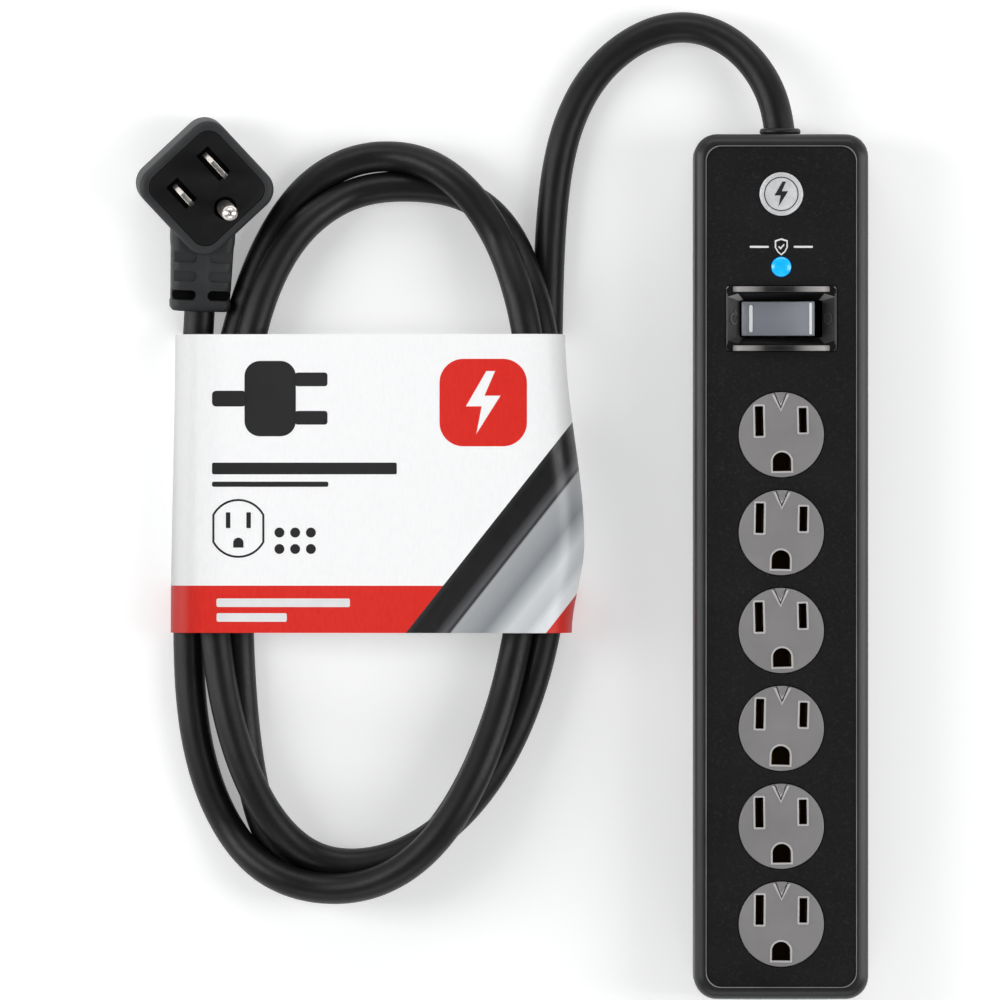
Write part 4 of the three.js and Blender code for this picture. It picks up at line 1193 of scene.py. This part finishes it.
def label_sleeve(look):
    """A printed paper sleeve round the turns: white, with a red band and a diagonal bar."""
    rows = 28
    levels = [SLEEVE_LOW_Y + (SLEEVE_HIGH_Y - SLEEVE_LOW_Y) * i / rows for i in range(rows + 1)]
    loops = [sleeve_section(y, 0.0) for y in levels]
    loops += [sleeve_section(y, SLEEVE_PAPER) for y in reversed(levels)]
    inks = [look["paper"], look["paper_red"], look["paper_stripe"], look["paper_red"]]
    sleeve = band("label_sleeve_paper", loops, inks, closed_section=True, smooth_angle=50)
    normal = Vector((*STRIPE_NORMAL, 0))
    with editing(sleeve.data) as work:
        cut_along(work, Vector((0, RED_BAND_TOP * MM, 0)), Vector((0, 1, 0)))
        for distance in (STRIPE_START, STRIPE_END):
            cut_along(work, normal * distance * MM, normal)
        for face in work.faces:
            face.material_index = ink_at(face.calc_center_median() / MM, face.normal)
            face.smooth = True
    sleeve.data.set_sharp_from_angle(angle=radians(50))
    return belongs(sleeve, "label_paper", "label_sleeve")


def paper_height(x, y):
    """The sleeve's top at x, y, between its bowed sides."""
    left_half, start_x, right_half, end_x = sleeve_bows(y)
    part = min(1, max(0, (x - start_x) / (end_x - start_x)))
    return 2 * (left_half + (right_half - left_half) * ease(part))


def printed(name, outline, ink, holes=()):
    """A thin layer of ink that follows the sleeve's top."""
    layer = slab(name, outline, -0.03, 0.05, ink, holes)
    with editing(layer.data) as work:
        for axis in ((1, 0, 0), (0, 1, 0)):
            reach = [Vector(axis).dot(vert.co) / MM for vert in work.verts]
            for i in range(int(min(reach) / INK_GRID), int(max(reach) / INK_GRID) + 1):
                cut_along(work, Vector(axis) * (INK_GRID * i) * MM, axis)
        for vert in work.verts:
            vert.co.z += paper_height(vert.co.x / MM, vert.co.y / MM) * MM
    return layer


def emblem_print(look):
    """A red rounded square with a lightning bolt left white."""
    centre = (-86.8, 47.8)
    square = rounded_rectangle(25.5, 25.5, 7, centre, 12)
    return [printed("emblem", square, look["paper_red"], [lightning(9.2, centre)])]


def plug_print(look):
    """A large plug with two prongs and a short lead, lying on its side."""
    x, y = -149, 49
    body = rounded_rectangle(15, 22, 4.5, (x, y), 8)
    lead = rounded_rectangle(10, 4.6, 1.2, (x - 12, y), 4)
    prongs = [rounded_rectangle(9.5, 4, 0.8, (x + 12, y + side * 5.6), 3) for side in (-1, 1)]
    return [printed("plug_icon", shape, look["ink_dark"]) for shape in (body, lead, *prongs)]


def flat_sided_circle(radius, half_width, centre):
    """A circle with its left and right sides cut straight."""
    lean = atan2(sqrt(radius ** 2 - half_width ** 2), half_width) * 180 / pi
    return arc(centre, radius, lean, 180 - lean, 16) + arc(centre, radius, 180 + lean, 360 - lean, 16)


def outlet_print(look):
    """An outlined outlet and six dots, for six outlets."""
    x, y = -158.3, 11.1
    ring = [flat_sided_circle(8.6, 7.6, (x, y)), flat_sided_circle(8.0, 7.0, (x, y))]
    shapes = [printed("outlet_icon", ring[0], look["ink_dark"], [ring[1]])]
    for side in (-1, 1):
        slot = rounded_rectangle(1.3, 4.6, 0.2, (x + side * 3, y + 2.4), 3)
        shapes.append(printed("icon_slot", slot, look["ink_dark"]))
    ground = arc((x, y - 4.2), 1.5, 0, 180, 12) + [(x - 1.5, y - 5.6), (x + 1.5, y - 5.6)]
    shapes.append(printed("icon_ground", ground, look["ink_dark"]))
    for column in range(3):
        for row in range(2):
            dot = circle(1.45, (x + 12 + 4.6 * column, y - 6 + 4.8 * row), 24)
            shapes.append(printed("dot", dot, look["ink_dark"]))
    return shapes


def bar_prints(look):
    """Plain bars where a label has its lines of text."""
    bars = [("ink_dark", 54, 3.4, -139, 28.6), ("ink_dark", 34, 1.5, -149, 24.0)]
    bars += [("ink_white", 39, 2.5, -145.2, -10.6), ("ink_white", 20.5, 2.5, -154.4, -14.9)]
    return [
        printed("bar", rounded_rectangle(width, height, 0.5, (x, y), 4), look[ink])
        for ink, width, height, x, y in bars
    ]


def sleeve_prints(look):
    """All the ink on the white of the sleeve, as one piece."""
    shapes = emblem_print(look) + plug_print(look) + outlet_print(look) + bar_prints(look)
    return belongs(joined("label_prints", *shapes), "label_paper")


# ---------------------------------------------------------------- plug
PLUG_SIDE, PLUG_CORNER, PLUG_HEIGHT, PLUG_EDGE = 31.5, 6.2, 18.0, 1.8
CORE_SIDE, CORE_CORNER, CORE_DEPTH = 26.3, 4.5, 3.2
RELIEF_AXIS_Z = 8.5
RELIEF_LENGTH = 36.5
WINDOW_ROWS = ((-20.6, 1.2), (-26.2, 1.3), (-31.8, 3.4))     # place along the relief, and depth
RELIEF_MOUTH = (0, -RELIEF_LENGTH - 0.6, RELIEF_AXIS_Z)
RELIEF_INSIDE = (0, -RELIEF_LENGTH + 3, RELIEF_AXIS_Z)
PIN_ROW = 4.0
GROUND_PIN_ROW = PIN_ROW - 11.9
PIN_ROOT = 1.6             # how far each pin reaches down into the face
BLADE_LENGTH, BLADE_HOLE, BLADE_HALF = 17.1, 1.6, 0.75         # length, hole radius and half-thickness
GROUND_PIN_LENGTH, GROUND_PIN_RADIUS = 20.2, 2.37


def relief_loop(y, width, height, corner=2.6):
    outline = rounded_rectangle(width, height, corner, (0, RELIEF_AXIS_Z), 6)
    return [(x, y, z) for x, z in outline]


def strain_relief(look):
    """A tapered grip with three windows on each side and a thicker end; the deepest windows hold near-black
    sheets on their floors as painted shadow.
    """
    taper = [(-8, 18.8, 12.4), (-16, 18.6, 12.4), (-18.4, 18.0, 12.1), (-31, 17.3, 11.8)]
    end = [(-33.4, 17.2, 11.8), (-34.0, 17.6, 12.3), (-35.9, 17.4, 12.3)]
    end += [(-36.4, 16.6, 11.6), (-36.5, 15.4, 10.6)]
    loops = [relief_loop(y, width, height) for y, width, height in reversed(taper + end)]
    relief = band("relief", loops, look["plug"], smooth_angle=40)
    cutters, shade_floors = [], []
    for y, depth in WINDOW_ROWS:
        floor = RELIEF_AXIS_Z + 6.1 - depth
        for side in (-1, 1):
            outline = rounded_rectangle(9.4, 3.0, 1.45, (side * 6.3, y), 8)
            cutters.append(slab("window", outline, floor, 20, ()))
            # the deepest windows get a near-black sheet on their floor: painted shadow
            if depth > 3:
                shadow = rounded_rectangle(6.8, 2.9, 1.4, (side * 5.1, y), 8)
                shade_floors.append(slab("window_painted_shadow", shadow, floor - 0.4, floor + 0.05, look["plug_painted_shade"]))
    carved(relief, *cutters, smooth_angle=40)
    softened(relief, 0.18, 2, 45)
    grip = joined("grip", relief, *shade_floors)
    return moved(grip, turn(PLUG_CORD_TURN, "Z"))


def core_holes():
    """Square recesses round the blades and a round one for the ground pin."""
    places = [(-BLADE_SPACING / 2, 8.6), (BLADE_SPACING / 2, 10.0)]
    holes = [rounded_rectangle(4.4, length, 0.3, (x, PIN_ROW), 3) for x, length in places]
    return holes + [circle(3.35, (0, GROUND_PIN_ROW), 40)]


def plug_shell(look):
    """The plug's square body, open over its pin face, with the strain relief."""
    outline = rounded_rectangle(PLUG_SIDE, PLUG_SIDE, PLUG_CORNER, steps=14)
    shell = slab("shell", outline, 0, PLUG_HEIGHT, look["plug"], edge=PLUG_EDGE, edge_steps=7)
    opening = rounded_rectangle(CORE_SIDE + 0.3, CORE_SIDE + 0.3, CORE_CORNER, steps=10)
    carved(shell, slab("recess", opening, PLUG_HEIGHT - CORE_DEPTH - 0.1, PLUG_HEIGHT + 1, ()))
    piece = moved(joined("plug_shell", shell, strain_relief(look)), plug_matrix())
    return belongs(piece, "plug_vinyl", "plug_body")


def plug_face(look):
    """The pin face, with a near-black back that shows through its recesses as painted shade."""
    outline = rounded_rectangle(CORE_SIDE, CORE_SIDE, CORE_CORNER, steps=10)
    low, high = PLUG_HEIGHT - CORE_DEPTH, PLUG_HEIGHT + 0.25
    face = slab("face", outline, low + 1.6, high, look["plug_face"], core_holes(), 0.22, 3)
    back = slab("back", outline, low, low + 1.55, look["plug_painted_shade"])
    piece = moved(joined("plug_pin_face", face, back), plug_matrix())
    return belongs(piece, "plug_face", "plug_core")


def blade(name, node, x, width, look):
    """A flat blade with a tapered tip and a round hole near it."""
    z0, z1 = PLUG_HEIGHT - PIN_ROOT, PLUG_HEIGHT + BLADE_LENGTH
    half = width / 2
    tip = [(half, z1 - 2.2), (half - 1.5, z1), (1.5 - half, z1), (-half, z1 - 2.2)]
    outline = [(-half, z0), (half, z0)] + tip
    piece = swept(name, outline, -BLADE_HALF, BLADE_HALF, look["nickel"], across="X", edge=0.28)
    drill = slab("drill", circle(BLADE_HOLE, steps=32), -3, 3, ())
    moved(drill, Matrix.Translation((0, 0, z1 - 5.5)) @ turn(90, "Y"))
    carved(piece, drill)
    moved(piece, plug_matrix() @ Matrix.Translation((x, PIN_ROW, 0)))
    return belongs(piece, "pin_nickel", node)


def ground_pin(look):
    """The round pin, with a domed tip and a small dimple in it."""
    r, z0, z1 = GROUND_PIN_RADIUS, PLUG_HEIGHT - PIN_ROOT, PLUG_HEIGHT + GROUND_PIN_LENGTH
    tip = [(r * cos(radians(a)), z1 - 2.3 + 2.3 * sin(radians(a))) for a in range(0, 76, 15)]
    profile = [(0, z0), (r, z0)] + tip + [(0.45, z1 - 0.05), (0.4, z1 - 0.8), (0, z1 - 0.9)]
    piece = turned("plug_ground_pin_metal", profile, (0, GROUND_PIN_ROW, 0), look["nickel"], steps=40)
    return belongs(moved(piece, plug_matrix()), "pin_nickel", "plug_ground_pin")


# ---------------------------------------------------------------- studio floor
def make_floor():
    """A wide white floor, faintly lit from within so that it stays white in the view."""
    finish = Finish("studio_floor").set(Specular_IOR_Level=0.1, Emission_Strength=0.42)
    tone = finish.noise(400, 2)
    white = finish.ramp(tone, [(0.3, (0.8, 0.8, 0.8, 1)), (0.7, (0.82, 0.82, 0.82, 1))])
    finish.to("Base Color", white)
    finish.to("Emission Color", white)
    finish.to("Roughness", finish.span(tone, 0.8, 0.9))
    size = 6000
    outline = [(-size, -size), (size, -size), (size, size), (-size, size)]
    floor = mesh_piece("studio_floor", [(x, y, -0.05) for x, y in outline], [(0, 1, 2, 3)], finish.material)


# ---------------------------------------------------------------- the whole object
def build():
    scene.view_settings.view_transform = "Standard"
    look = make_materials()
    make_camera()
    make_world()
    make_lights()
    cord, length = make_cord(look)
    dress_cad_nodes(look)
    cover_shell(look)
    cover_panel(look)
    base_shell(look)
    for index, node in enumerate(OUTLET_NODES):
        outlet(index, node, look)
    switch_frame(look)
    rocker(look)
    status_lens(look)
    badge(look)
    pictogram(look)
    cord_collar = collar(look)
    sleeve = label_sleeve(look)
    prints = sleeve_prints(look)
    plug_pieces = [
        plug_shell(look),
        plug_face(look),
        blade("plug_line_blade_metal", "plug_line_blade", -BLADE_SPACING / 2, 6.35, look),
        blade("plug_neutral_blade_metal", "plug_neutral_blade", BLADE_SPACING / 2, 7.9, look),
        ground_pin(look),
    ]
    make_floor()
    belongs(cord, "cord_jacket", "cord_lead", "cord_coil", "cord_tail")


build()
